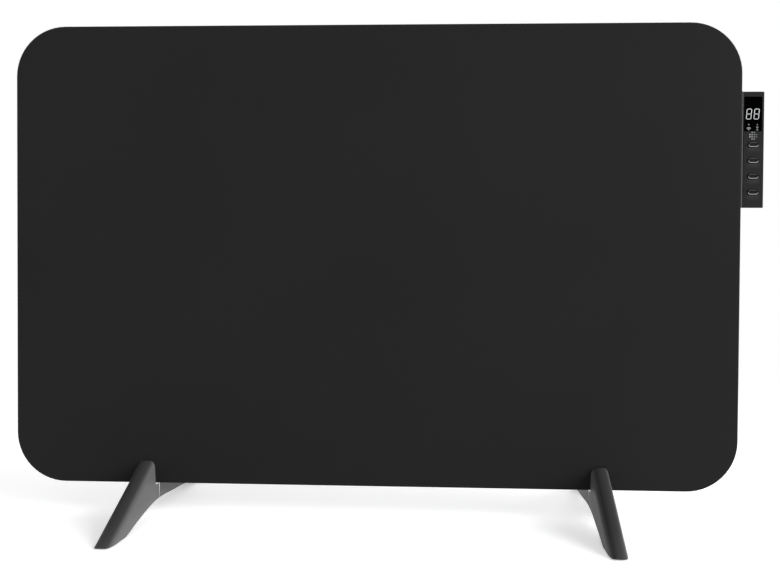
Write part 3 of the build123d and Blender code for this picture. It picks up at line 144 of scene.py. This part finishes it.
def place_vector(tree, stretch=(1, 1, 1)):
    """Object coordinates in metres, stretched along the axes for grain that runs one way."""
    coordinates = add(tree, "ShaderNodeTexCoord")
    mapping = add(tree, "ShaderNodeMapping")
    mapping.inputs["Scale"].default_value = stretch
    tree.links.new(coordinates.outputs["Object"], mapping.inputs["Vector"])
    return mapping.outputs["Vector"]


def axes(tree, vector):
    """A vector's three numbers, as outputs named X, Y and Z."""
    split = add(tree, "ShaderNodeSeparateXYZ")
    tree.links.new(vector, split.inputs["Vector"])
    return split.outputs


def combine(tree, operation, first, second):
    """One value out of two; the second is an output or a plain number."""
    node = add(tree, "ShaderNodeMath", operation=operation)
    tree.links.new(first, node.inputs[0])
    if isinstance(second, bpy.types.NodeSocket):
        tree.links.new(second, node.inputs[1])
    else:
        node.inputs[1].default_value = second
    return node.outputs["Value"]


def shift_vector(tree, operation, vector, *amounts):
    """A vector changed by an operation with up to two constant vectors."""
    node = add(tree, "ShaderNodeVectorMath", operation=operation)
    tree.links.new(vector, node.inputs[0])
    for number, amount in enumerate(amounts, 1):
        node.inputs[number].default_value = amount
    return node.outputs["Vector"]


def noise(tree, vector, scale, detail=3.0):
    node = add(tree, "ShaderNodeTexNoise", Scale=scale, Detail=detail, Roughness=0.5)
    tree.links.new(vector, node.inputs["Vector"])
    return node.outputs["Fac"]


def wave_bands(tree, vector, direction, scale, distortion=0.0):
    node = add(tree, "ShaderNodeTexWave", wave_type="BANDS", bands_direction=direction,
               Scale=scale, Distortion=distortion)
    tree.links.new(vector, node.inputs["Vector"])
    return node.outputs["Fac"]


def spread(tree, value, low, high, source=(0.3, 0.7), kind="LINEAR"):
    """A value brought from its source range into the range from low to high."""
    node = add(tree, "ShaderNodeMapRange", interpolation_type=kind,
               From_Min=source[0], From_Max=source[1], To_Min=low, To_Max=high)
    tree.links.new(value, node.inputs["Value"])
    return node.outputs["Result"]


def tint(tree, value, colour, amount, source=(0.3, 0.7)):
    """The colour, drifting darker and lighter by an amount as the value changes."""
    ramp = add(tree, "ShaderNodeValToRGB")
    shares = (1 - amount, 1 + amount)
    for element, position, share in zip(ramp.color_ramp.elements, source, shares):
        element.position = position
        element.color = (*[c * share for c in colour], 1)
    tree.links.new(value, ramp.inputs["Fac"])
    return ramp.outputs["Color"]


def scale_colour(tree, share):
    """Multiplies the shader's base colour by a value that varies over the surface."""
    base = tree.nodes["Principled BSDF"].inputs["Base Color"]
    scaled = add(tree, "ShaderNodeVectorMath", operation="SCALE")
    tree.links.new(base.links[0].from_socket, scaled.inputs[0])
    tree.links.new(share, scaled.inputs["Scale"])
    tree.links.new(scaled.outputs["Vector"], base)


def bump(tree, shader, *heights):
    """Chains bump nodes onto a shader; each height is (value, strength, depth)."""
    normal = None
    for value, strength, depth in heights:
        node = add(tree, "ShaderNodeBump", Strength=strength, Distance=depth)
        tree.links.new(value, node.inputs["Height"])
        if normal is not None:
            tree.links.new(normal, node.inputs["Normal"])
        normal = node.outputs["Normal"]
    tree.links.new(normal, shader.inputs["Normal"])


def surface(tree, shader, colour, rough):
    """Links a varied colour and a varied roughness to a shader."""
    tree.links.new(colour, shader.inputs["Base Color"])
    tree.links.new(rough, shader.inputs["Roughness"])


# ------------------------------------------------------------------ kinds of surface
def grained(name, colour, rough, grain, depth, drift=0.08, specular=0.5, stretch=(1, 1, 1)):
    """Coated or moulded surface: fine grain, with a slow drift of tone and roughness."""
    material, tree, shader = start_material(name)
    vector = place_vector(tree, stretch)
    fine = noise(tree, vector, 1 / grain, detail=2)
    slow = noise(tree, vector, MOULD_DRIFT, detail=4)
    surface(tree, shader, tint(tree, slow, colour, drift),
            spread(tree, fine, low=rough - 0.06, high=rough + 0.06))
    shader.inputs["Specular IOR Level"].default_value = specular
    bump(tree, shader, (slow, 0.1, depth), (fine, 0.35, depth))
    return material


def moulded_leg(name, gain, turns, **finish):
    """Moulded plastic with painted side light: the sides that face along X are made paler; also
    paler towards the floor.
    """
    material = grained(name, **finish)
    tree = material.node_tree
    normal = add(tree, "ShaderNodeTexCoord").outputs["Normal"]
    side_light_mask = axes(tree, shift_vector(tree, "ABSOLUTE", normal))["X"]
    # painted light: the sides that face along X are made paler, as if lit from the side
    scale_colour(tree, spread(tree, side_light_mask, 1.0, gain, turns, kind="SMOOTHSTEP"))
    height = axes(tree, place_vector(tree))["Z"]
    # paler towards the floor, between the given heights
    scale_colour(tree, spread(tree, height, FLOOR_END_GAIN, 1.0, FLOOR_END_HEIGHTS))
    return material


def glow_spill_face(name, buttons, **finish):
    """Moulded plastic with painted light: a paler patch below each of a column of like buttons,
    where their glow would fall.
    """
    material = grained(name, **finish)
    tree = material.node_tree
    boxes = sorted((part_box(button) for button in buttons), key=lambda box: -box[0].z)
    middles = [(low + high) / 2 for low, high in boxes]
    half_pitch = (middles[0].z - middles[-1].z) / (len(middles) - 1) / 2
    top = middles[0] - Vector((0, 0, GLOW_SPILL_DROP))
    # The place is folded onto the top button's own stretch, so that one patch serves them all.
    place = shift_vector(tree, "SUBTRACT", place_vector(tree), top)
    place = shift_vector(tree, "MINIMUM", place, (1, 1, half_pitch * 0.99))
    place = shift_vector(tree, "WRAP", place, (1, 1, half_pitch), (-1, -1, -half_pitch))
    apart = axes(tree, shift_vector(tree, "ABSOLUTE", place))
    across = spread(tree, apart["X"], 1, 0, GLOW_SPILL_ACROSS, kind="SMOOTHSTEP")
    down = spread(tree, apart["Z"], 1, 0, (0, GLOW_SPILL_DOWN))
    # painted light: the patch under each button is made paler, as the buttons' glow falling on the
    # face
    patch = combine(tree, "MULTIPLY", across, down)
    scale_colour(tree, spread(tree, patch, 1, GLOW_SPILL_GAIN, (0, 1)))
    return material


def powder_coat(name, colour, rough, specular):
    """Baked powder: orange peel about a millimetre wide with much finer specks in it."""
    material, tree, shader = start_material(name)
    vector = place_vector(tree)
    peel = noise(tree, vector, ORANGE_PEEL, detail=2)
    specks = noise(tree, vector, POWDER_SPECKS, detail=1)
    slow = noise(tree, vector, POWDER_DRIFT, detail=4)
    surface(tree, shader, tint(tree, slow, colour, amount=0.05),
            spread(tree, specks, low=rough - 0.05, high=rough + 0.05))
    shader.inputs["Specular IOR Level"].default_value = specular
    bump(tree, shader, (peel, 0.5, 0.2 * MM), (specks, 0.5, 0.06 * MM))
    return material


def brushed(name, colour, rough, stretch):
    """Plated or drawn metal with fine lines one way and faint blotches."""
    material, tree, shader = start_material(name)
    hair = noise(tree, place_vector(tree, stretch), METAL_HAIR)
    slow = noise(tree, place_vector(tree), METAL_BLOTCHES, detail=4)
    surface(tree, shader, tint(tree, slow, colour, amount=0.1),
            spread(tree, hair, low=rough - 0.08, high=rough + 0.1))
    shader.inputs["Metallic"].default_value = 1.0
    bump(tree, shader, (hair, 0.2, 0.02 * MM))
    return material


def turned(name, colour, rough):
    """Turned metal: close rings along the axis, darker in their grooves."""
    material, tree, shader = start_material(name)
    rings = wave_bands(tree, place_vector(tree), "Y", TURNED_RINGS, distortion=0.4)
    surface(tree, shader, tint(tree, rings, colour, amount=0.12, source=(0, 1)),
            spread(tree, rings, low=rough, high=rough + 0.12, source=(0, 1)))
    shader.inputs["Metallic"].default_value = 1.0
    bump(tree, shader, (rings, 0.3, 0.03 * MM))
    return material


def rubber(name, colour):
    material, tree, shader = start_material(name)
    vector = place_vector(tree)
    fine = noise(tree, vector, RUBBER_GRAIN)
    dust = noise(tree, vector, RUBBER_DUST, detail=5)
    surface(tree, shader, tint(tree, dust, colour, amount=0.3),
            spread(tree, fine, low=0.75, high=0.95))
    shader.inputs["Specular IOR Level"].default_value = 0.25
    bump(tree, shader, (fine, 0.4, 0.05 * MM))
    return material


def lit(name, vector_output, *falls):
    """A diffuser that glows. Each fall is (axis, low glow, high glow, places); falls multiply."""
    material, tree, shader = start_material(name)
    coordinates = add(tree, "ShaderNodeTexCoord")
    along = axes(tree, coordinates.outputs[vector_output])
    frost = noise(tree, coordinates.outputs["Object"], LIT_FROST)
    level = spread(tree, frost, low=0.93, high=1.07)
    for axis, low, high, places in falls:
        level = combine(tree, "MULTIPLY", spread(tree, along[axis], low, high, places), level)
    shader.inputs["Base Color"].default_value = (*UNLIT_TONE, 1)
    shader.inputs["Emission Color"].default_value = (*LIT_TONE, 1)
    shader.inputs["Specular IOR Level"].default_value = 0.1
    tree.links.new(level, shader.inputs["Emission Strength"])
    tree.links.new(spread(tree, frost, low=0.35, high=0.5), shader.inputs["Roughness"])
    return material


def circuit(name):
    """Solder mask over copper tracks, which run across in some patches and down in others."""
    material, tree, shader = start_material(name)
    vector = place_vector(tree)
    patches = noise(tree, vector, TRACK_PATCHES, detail=0)
    runs = add(tree, "ShaderNodeMix", data_type="FLOAT")
    tree.links.new(spread(tree, patches, 0, 1, source=(0.49, 0.51)), runs.inputs["Factor"])
    for end, direction in (("A", "X"), ("B", "Z")):
        tree.links.new(wave_bands(tree, vector, direction, TRACK_BANDS), runs.inputs[end])
    gaps = noise(tree, vector, TRACK_GAPS, detail=0)
    gaps = spread(tree, gaps, low=0.75, high=1.25, source=(0.35, 0.6))
    track = combine(tree, "MULTIPLY", runs.outputs["Result"], gaps)
    weave = noise(tree, vector, BOARD_WEAVE, detail=2)
    surface(tree, shader, tint(tree, track, MASK_TONE, amount=0.4, source=(0.78, 0.84)),
            spread(tree, weave, low=0.25, high=0.45))
    bump(tree, shader, (track, 0.2, 0.03 * MM), (weave, 0.15, 0.02 * MM))
    return material


def mineral_wool(name, colour):
    """Pressed fibres, in two crossing layers."""
    material, tree, shader = start_material(name)
    along = noise(tree, place_vector(tree, (0.12, 1, 1)), WOOL_FIBRES, detail=5)
    across = noise(tree, place_vector(tree, (1, 1, 0.12)), WOOL_FIBRES, detail=5)
    fibres = combine(tree, "MAXIMUM", along, across)
    surface(tree, shader, tint(tree, fibres, colour, amount=0.3),
            spread(tree, fibres, low=0.85, high=1.0))
    bump(tree, shader, (fibres, 0.8, 0.4 * MM))
    return material


def creased_foil(name, colour):
    material, tree, shader = start_material(name)
    vector = place_vector(tree)
    creases = add(tree, "ShaderNodeTexVoronoi", feature="DISTANCE_TO_EDGE", Scale=FOIL_CREASES)
    tree.links.new(vector, creases.inputs["Vector"])
    fine = noise(tree, vector, FOIL_GRAIN)
    surface(tree, shader, tint(tree, fine, colour, amount=0.06),
            spread(tree, fine, low=0.18, high=0.34))
    shader.inputs["Metallic"].default_value = 1.0
    bump(tree, shader, (creases.outputs["Distance"], 0.5, 0.6 * MM), (fine, 0.1, 0.05 * MM))
    return material


def window_gloss(name, colour):
    """Smoked window: near-black, polished, with faint wipe marks in its gloss."""
    material, tree, shader = start_material(name)
    wipes = noise(tree, place_vector(tree, (1, 1, 0.25)), WINDOW_WIPES, detail=4)
    surface(tree, shader, tint(tree, wipes, colour, amount=0.3),
            spread(tree, wipes, low=0.06, high=0.16))
    shader.inputs["Specular IOR Level"].default_value = 0.01
    return material


def fuse_glass(name, colour):
    material, tree, shader = start_material(name)
    haze = noise(tree, place_vector(tree), GLASS_HAZE)
    surface(tree, shader, tint(tree, haze, colour, amount=0.04),
            spread(tree, haze, low=0.03, high=0.1))
    shader.inputs["Transmission Weight"].default_value = 0.9
    return material


# ------------------------------------------------------------------ materials of the record's slots
BOX_FINISH = dict(colour=BOX_TONE, rough=0.6, grain=0.28 * MM, depth=0.06 * MM, specular=0.1)
LOOKS = {
    "panel_coat": (powder_coat, dict(colour=PANEL_TONE, rough=0.6, specular=0.06)),
    "cover_coat": (powder_coat, dict(colour=COVER_TONE, rough=0.6, specular=0.25)),
    "box_plastic": (grained, BOX_FINISH),
    "trim_grey": (grained, dict(
        colour=TRIM_TONE, rough=0.45, grain=0.4 * MM, depth=0.02 * MM, specular=0.3)),
    "black_window": (window_gloss, dict(colour=WINDOW_TONE)),
    "button_plastic": (grained, dict(
        colour=BUTTON_TONE, rough=0.5, grain=0.3 * MM, depth=0.04 * MM, specular=0.1)),
    # painted side light: the gain makes the leg sides that face along X paler
    "leg_plastic": (moulded_leg, dict(
        colour=LEG_TONE, rough=0.5, grain=0.35 * MM, depth=0.05 * MM, specular=0.15,
        gain=3.3, turns=(0.5, 1.0))),
    "zinc_steel": (brushed, dict(colour=ZINC_TONE, rough=0.36, stretch=(0.05, 0.05, 1))),
    "dark_steel": (brushed, dict(colour=DARK_STEEL_TONE, rough=0.38, stretch=(1, 0.1, 1))),
    "brass": (turned, dict(colour=BRASS_TONE, rough=0.25)),
    "copper_strip": (brushed, dict(colour=COPPER_TONE, rough=0.28, stretch=(1, 1, 0.04))),
    "rubber": (rubber, dict(colour=SOOT_TONE)),
    "carbon_film": (grained, dict(
        colour=SOOT_TONE, rough=0.6, grain=1.2 * MM, depth=0.04 * MM, drift=0.25,
        stretch=(1, 1, 0.1))),
    "foil": (creased_foil, dict(colour=FOIL_TONE)),
    "mineral_wool": (mineral_wool, dict(colour=WOOL_TONE)),
    "circuit_green": (circuit, {}),
    "component_black": (grained, dict(
        colour=SOOT_TONE, rough=0.5, grain=0.3 * MM, depth=0.03 * MM)),
    "component_white": (grained, dict(
        colour=WHITE_TONE, rough=0.45, grain=0.4 * MM, depth=0.03 * MM, drift=0.04)),
    "wire_red": (grained, dict(colour=WIRE_TONE, rough=0.5, grain=0.6 * MM, depth=0.03 * MM)),
    "fuse_glass": (fuse_glass, dict(colour=GLASS_TONE)),
    "frosted_clear": (grained, dict(
        colour=FROST_TONE, rough=0.55, grain=0.4 * MM, depth=0.04 * MM, drift=0.04)),
}
MATERIALS = {name: make(name, **look) for name, (make, look) in LOOKS.items()}


def coat(node, material):
    surfaces = frame["nodes"][node].data.materials
    surfaces.clear()
    surfaces.append(material)


for subpart in frame["record"]["subparts"]:
    if subpart["material_slot"] in MATERIALS:
        coat(subpart["node"], MATERIALS[subpart["material_slot"]])

# painted glow: the shell's face is paler below each button
coat("control_front_shell", glow_spill_face("front_shell_face", BUTTONS, **BOX_FINISH))
coat("wall_inserts", brushed("insert_steel", INSERT_TONE, rough=0.42, stretch=(0.05, 1, 1)))
# painted highlight: the foot brackets take a paler copy of the zinc steel, so that their tongue
# shows a bright strip
highlight_zinc = brushed("highlight_zinc", HIGHLIGHT_ZINC_TONE, rough=0.3, stretch=(0.05, 0.05, 1))
for node in ("left_foot_bracket", "right_foot_bracket"):
    coat(node, highlight_zinc)


# ------------------------------------------------------------------ lit signs of the control box
def lit_node(node, **falls):
    """A node that glows, by axis from one level at its low end to another at its high end."""
    low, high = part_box(node)
    ranges = []
    for axis, levels in falls.items():
        ends = [getattr(corner, axis.lower()) for corner in (low, high)]
        ranges.append((axis, *levels, ends))
    coat(node, lit(node + "_glow", "Object", *ranges))


lit_node("dot_light_guide", X=(0.5, 0.12))
lit_node("digit_segments", Z=(0.86, 1.0))
lit_node("indicator_icons", Z=(0.32, 0.7), X=(1.0, 0.6))
for node in ("digit_display", "indicator_leds"):
    coat(node, MATERIALS["frosted_clear"])


# ------------------------------------------------------------------ helpers for new pieces
def new_piece(name, bm, *materials, body=ROOT, slot=None, smooth=True):
    mesh = bpy.data.meshes.new(name)
    bmesh.ops.recalc_face_normals(bm, faces=bm.faces)
    bm.to_mesh(mesh)
    bm.free()
    for polygon in mesh.polygons:
        polygon.use_smooth = smooth
    for material in materials:
        mesh.materials.append(material)
    piece = bpy.data.objects.new(name, mesh)
    bpy.context.scene.collection.objects.link(piece)
    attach(piece, body)
    return piece


def join_rings(bm, first, second):
    """The faces between two closed rings of as many vertices."""
    faces = []
    for i in range(len(first)):
        j = (i + 1) % len(first)
        faces.append(bm.faces.new((first[i], first[j], second[j], second[i])))
    return faces


def round_ring(bm, steps, radius, x, y, z):
    turns = [2 * pi * i / steps for i in range(steps)]
    return [bm.verts.new((x + radius * cos(t), y, z + radius * sin(t))) for t in turns]


# ------------------------------------------------------------------ buttons
BUTTON_FLANGE = 1.4 * MM
FLANGE_SHEET = 1.0 * MM
BUTTON_PROUD = 0.9 * MM
SHELL_WALL = 1.8 * MM
DISH_DEPTH = 0.7 * MM
DISH_PROFILE = (                # (share of the radius, share of the depth), from the middle out
    (0.04, 1.0), (0.2, 0.97), (0.38, 0.86), (0.56, 0.62), (0.68, 0.36), (0.8, 0.1), (0.87, 0.0))
# the lip bands glow as a painted highlight on the dish's slopes
HIGHLIGHT_BANDS = (3, 4)              # bands between rings of that profile that glow
LOWER_LIP = radians(-12)        # the lit bands glow below this turn and above the next
UPPER_LIP = radians(60)
EDGE_ROUND = 0.35 * MM
EDGE_TURNS = tuple(radians(degrees) for degrees in (15, 40, 65, 90))
STEM_RADIUS = 1.7 * MM
STEM_STEPS = 24
ARC_STEPS = 18

# painted highlight: the dish's lips glow, most towards the bottom of the button
lip_highlight_glow = lit("lip_highlight_glow", "Generated", ("Z", 0.62, 0.07, (0.12, 0.66)))


def pill_ring(bm, half_length, radius, x, y, z):
    """Vertices round a pill shape: two half circles on the ends of a level line."""
    ring = []
    for side in (1, -1):
        for i in range(ARC_STEPS + 1):
            turn = pi * i / ARC_STEPS - side * pi / 2
            place = (x + side * half_length + radius * cos(turn), y, z + radius * sin(turn))
            ring.append(bm.verts.new(place))
    return ring


def pill_turn(face, middle, half_length):
    """How far up from level a face lies, seen from the nearer end of its pill's middle line."""
    centre = face.calc_center_median() - middle
    return atan2(centre.z, max(abs(centre.x) - half_length, 0))


def dished_button(name):
    """Push button with a finger dish whose lips glow as a painted highlight, its flange and its
    stem.
    """
    low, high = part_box(name)
    middle = (low + high) / 2
    radius = (high.z - low.z) / 2 - BUTTON_FLANGE
    half_length = (high.x - low.x) / 2 - BUTTON_FLANGE - radius
    flange_front = low.y + BUTTON_PROUD + SHELL_WALL
    flange_back = flange_front + FLANGE_SHEET
    rings = [(share * radius, low.y + DISH_DEPTH * depth) for share, depth in DISH_PROFILE]
    for turn in EDGE_TURNS:
        rings.append((radius - EDGE_ROUND * (1 - sin(turn)), low.y + EDGE_ROUND * (1 - cos(turn))))
    rings += [(radius, flange_front), (radius + BUTTON_FLANGE, flange_front),
              (radius + BUTTON_FLANGE, flange_back)]
    bm = bmesh.new()
    loops = [pill_ring(bm, half_length, r, middle.x, y, middle.z) for r, y in rings]
    bm.faces.new(loops[0])
    for number, (inner, outer) in enumerate(zip(loops, loops[1:])):
        for face in join_rings(bm, inner, outer):
            turn = pill_turn(face, middle, half_length)
            # the lip bands get the glowing material, a painted highlight
            if number in HIGHLIGHT_BANDS and (turn < LOWER_LIP or turn > UPPER_LIP):
                face.material_index = 1
    bm.faces.new(loops[-1][::-1])
    stem = [round_ring(bm, STEM_STEPS, STEM_RADIUS, middle.x, y, middle.z)
            for y in (flange_back, high.y)]
    join_rings(bm, *stem)
    bm.faces.new(stem[0])
    bm.faces.new(stem[1][::-1])
    plastic = MATERIALS["button_plastic"]
    cap = new_piece(name + "_cap", bm, plastic, lip_highlight_glow, body=name, slot="button_plastic")
    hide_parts(name)


for name in BUTTONS:
    dished_button(name)


# ------------------------------------------------------------------ screws with cross recesses
HEAD_HEIGHT = 1.6 * MM
HEAD_STEPS = 32
HEAD_DOME = ((1, 0), (1, 0.45), (0.96, 0.7), (0.84, 0.9), (0.68, 1))   # shares of radius, height
SHANK_SHARE = 0.46              # of the head's radius, as are the two numbers of the recess
RECESS_REACH = 0.52
RECESS_HALF_WIDTH = 0.13
RECESS_LEVELS = ((0.0, 1.0), (0.55, 0.62))      # (share of the head's height down, size there)
SCREW_TURN = radians(37)        # each screw stands turned by this from the one before
SAME_PLACE = 1e-7


def separate_boxes(node):
    """(low, high) of each loose piece of a node's mesh."""
    bm = bmesh.new()
    bm.from_mesh(frame["nodes"][node].data)
    bmesh.ops.remove_doubles(bm, verts=bm.verts, dist=SAME_PLACE)
    seen, boxes = set(), []
    for seed in bm.verts:
        if seed in seen:
            continue
        seen.add(seed)
        waiting, found = [seed], []
        while waiting:
            vert = waiting.pop()
            found.append(vert.co.copy())
            for edge in vert.link_edges:
                other = edge.other_vert(vert)
                if other not in seen:
                    seen.add(other)
                    waiting.append(other)
        boxes.append([Vector(map(limit, zip(*found))) for limit in (min, max)])
    bm.free()
    return boxes


def cross_outline(r, w):
    """Corners of a cross that reaches r from its middle, with arms of half width w."""
    return [(r, -w), (r, w), (w, w), (w, r), (-w, r), (-w, w),
            (-r, w), (-r, -w), (-w, -w), (-w, -r), (w, -r), (w, -w)]


def cross_screws(name, node):
    """Pan-head screws that point to -Y, each with a cross recess in its domed head."""
    bm = bmesh.new()
    for number, (low, high) in enumerate(separate_boxes(node)):
        x, z = (low.x + high.x) / 2, (low.z + high.z) / 2
        radius = (high.x - low.x) / 2
        seat, top = high.y - HEAD_HEIGHT, high.y
        profile = [(SHANK_SHARE, low.y), (SHANK_SHARE, seat)]
        profile += [(share, seat + rise * HEAD_HEIGHT) for share, rise in HEAD_DOME]
        rings = [round_ring(bm, HEAD_STEPS, share * radius, x, y, z) for share, y in profile]
        bm.faces.new(rings[0])
        for inner, outer in zip(rings, rings[1:]):
            join_rings(bm, inner, outer)
        c, s = cos(SCREW_TURN * number), sin(SCREW_TURN * number)
        pit = []
        for depth, size in RECESS_LEVELS:
            arms = cross_outline(RECESS_REACH * radius * size, RECESS_HALF_WIDTH * radius * size)
            y = top - depth * HEAD_HEIGHT
            pit.append([bm.verts.new((x + u * c - v * s, y, z + u * s + v * c)) for u, v in arms])
        join_rings(bm, *pit)
        bm.faces.new(pit[1])
        rims = [bm.edges.get((loop[i], loop[(i + 1) % len(loop)]))
                for loop in (rings[-1], pit[0]) for i in range(len(loop))]
        bmesh.ops.triangle_fill(bm, use_beauty=True, edges=rims)
    piece = new_piece(name, bm, MATERIALS["dark_steel"], slot="dark_steel", smooth=False)
    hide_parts(node)


cross_screws("cover_cross_screws", "rear_cover_screws")
cross_screws("case_cross_screws", "case_screws")


# ------------------------------------------------------------------ floor, light and camera
FLOOR_HALF = 12.0
FLOOR_DROP = 0.2 * MM
FLOOR_LIFT = 0.46               # glow of the near floor, for the eye only
NEAR_FLOOR, FAR_FLOOR = 0.6, 1.6
AMBIENT = 0.5
WHITE = (1, 1, 1, 1)


def seen_directly(tree):
    """1 for rays of the eye, and for those that mirrors and glass send on, else 0."""
    path = add(tree, "ShaderNodeLightPath")
    seen = path.outputs["Is Camera Ray"]
    for kind in ("Is Glossy Ray", "Is Transmission Ray"):
        seen = combine(tree, "MAXIMUM", seen, path.outputs[kind])
    return seen


def floor_material():
    """Pale matt floor that keeps shadows near the object and runs out into plain white."""
    material, tree, shader = start_material("floor_white")
    vector = place_vector(tree)
    specks = noise(tree, vector, FLOOR_SPECKS, detail=4)
    speckled = tint(tree, specks, FLOOR_TONE, amount=0.006)
    tree.links.new(speckled, shader.inputs["Base Color"])
    shader.inputs["Roughness"].default_value = 0.9
    shader.inputs["Specular IOR Level"].default_value = 0.0
    seen = seen_directly(tree)
    glow = add(tree, "ShaderNodeEmission")
    lift = combine(tree, "MULTIPLY", seen, FLOOR_LIFT)
    tree.links.new(lift, glow.inputs["Strength"])
    near = add(tree, "ShaderNodeAddShader")
    tree.links.new(shader.outputs["BSDF"], near.inputs[0])
    tree.links.new(glow.outputs["Emission"], near.inputs[1])
    reach = add(tree, "ShaderNodeVectorMath", operation="LENGTH")
    tree.links.new(vector, reach.inputs[0])
    far = spread(tree, reach.outputs["Value"], 0, 1, (NEAR_FLOOR, FAR_FLOOR))
    white = add(tree, "ShaderNodeEmission")
    mix = add(tree, "ShaderNodeMixShader")
    tree.links.new(combine(tree, "MULTIPLY", far, seen), mix.inputs["Fac"])
    tree.links.new(near.outputs["Shader"], mix.inputs[1])
    tree.links.new(white.outputs["Emission"], mix.inputs[2])
    tree.links.new(mix.outputs["Shader"], tree.nodes["Material Output"].inputs["Surface"])
    return material


def lay_floor():
    bm = bmesh.new()
    corners = [(-1, -1), (1, -1), (1, 1), (-1, 1)]
    bm.faces.new([bm.verts.new((i * FLOOR_HALF, k * FLOOR_HALF, -FLOOR_DROP)) for i, k in corners])
    mesh = bpy.data.meshes.new("floor")
    bm.to_mesh(mesh)
    bm.free()
    mesh.materials.append(floor_material())
    floor = bpy.data.objects.new("floor", mesh)
    bpy.context.scene.collection.objects.link(floor)


def studio_world():
    """White surroundings for the eye and for reflections, a softer level of light from them."""
    world = bpy.data.worlds.new("studio")
    world.use_nodes = True
    tree = world.node_tree
    seen = tree.nodes["Background"]
    seen.inputs["Color"].default_value = WHITE
    seen.inputs["Strength"].default_value = 1.0
    fill = add(tree, "ShaderNodeBackground", Color=WHITE, Strength=AMBIENT)
    mix = add(tree, "ShaderNodeMixShader")
    tree.links.new(seen_directly(tree), mix.inputs["Fac"])
    tree.links.new(fill.outputs["Background"], mix.inputs[1])
    tree.links.new(seen.outputs["Background"], mix.inputs[2])
    tree.links.new(mix.outputs["Shader"], tree.nodes["World Output"].inputs["Surface"])
    bpy.context.scene.world = world


def softbox(name, place, target, size, power):
    light = bpy.data.lights.new(name, "AREA")
    light.shape = "RECTANGLE"
    light.size, light.size_y = size
    light.energy = power
    lamp = bpy.data.objects.new(name, light)
    bpy.context.scene.collection.objects.link(lamp)
    lamp.location = place
    lamp.rotation_euler = (Vector(target) - Vector(place)).to_track_quat("-Z", "Y").to_euler()


lay_floor()
studio_world()
softbox("key_light", place=(10.0, -4.7, 4.2), target=(0, 0, 0.25), size=(7.9, 7.9), power=1620)
softbox("rim_light", place=(1.8, 1.6, 2.4), target=(0, 0, 0.3), size=(2.0, 1.6), power=16)

camera_data = bpy.data.cameras.new("camera")
camera_data.sensor_width = SENSOR
camera_data.lens = SENSOR * FOCAL_PIXELS / PHOTO_WIDTH
camera_data.shift_x = (PHOTO_WIDTH / 2 - AXIS_PIXEL) / PHOTO_WIDTH
camera_data.clip_start = CAMERA_CLIP
camera = bpy.data.objects.new("camera", camera_data)
bpy.context.scene.collection.objects.link(camera)
turn = (Matrix.Rotation(-CAMERA_YAW, 4, "Z") @ Matrix.Rotation(pi / 2 - CAMERA_PITCH, 4, "X")
        @ Matrix.Rotation(CAMERA_ROLL, 4, "Z"))
camera.matrix_world = Matrix.Translation(CAMERA_PLACE) @ turn
bpy.context.scene.camera = camera
bpy.context.scene.view_settings.view_transform = "Standard"
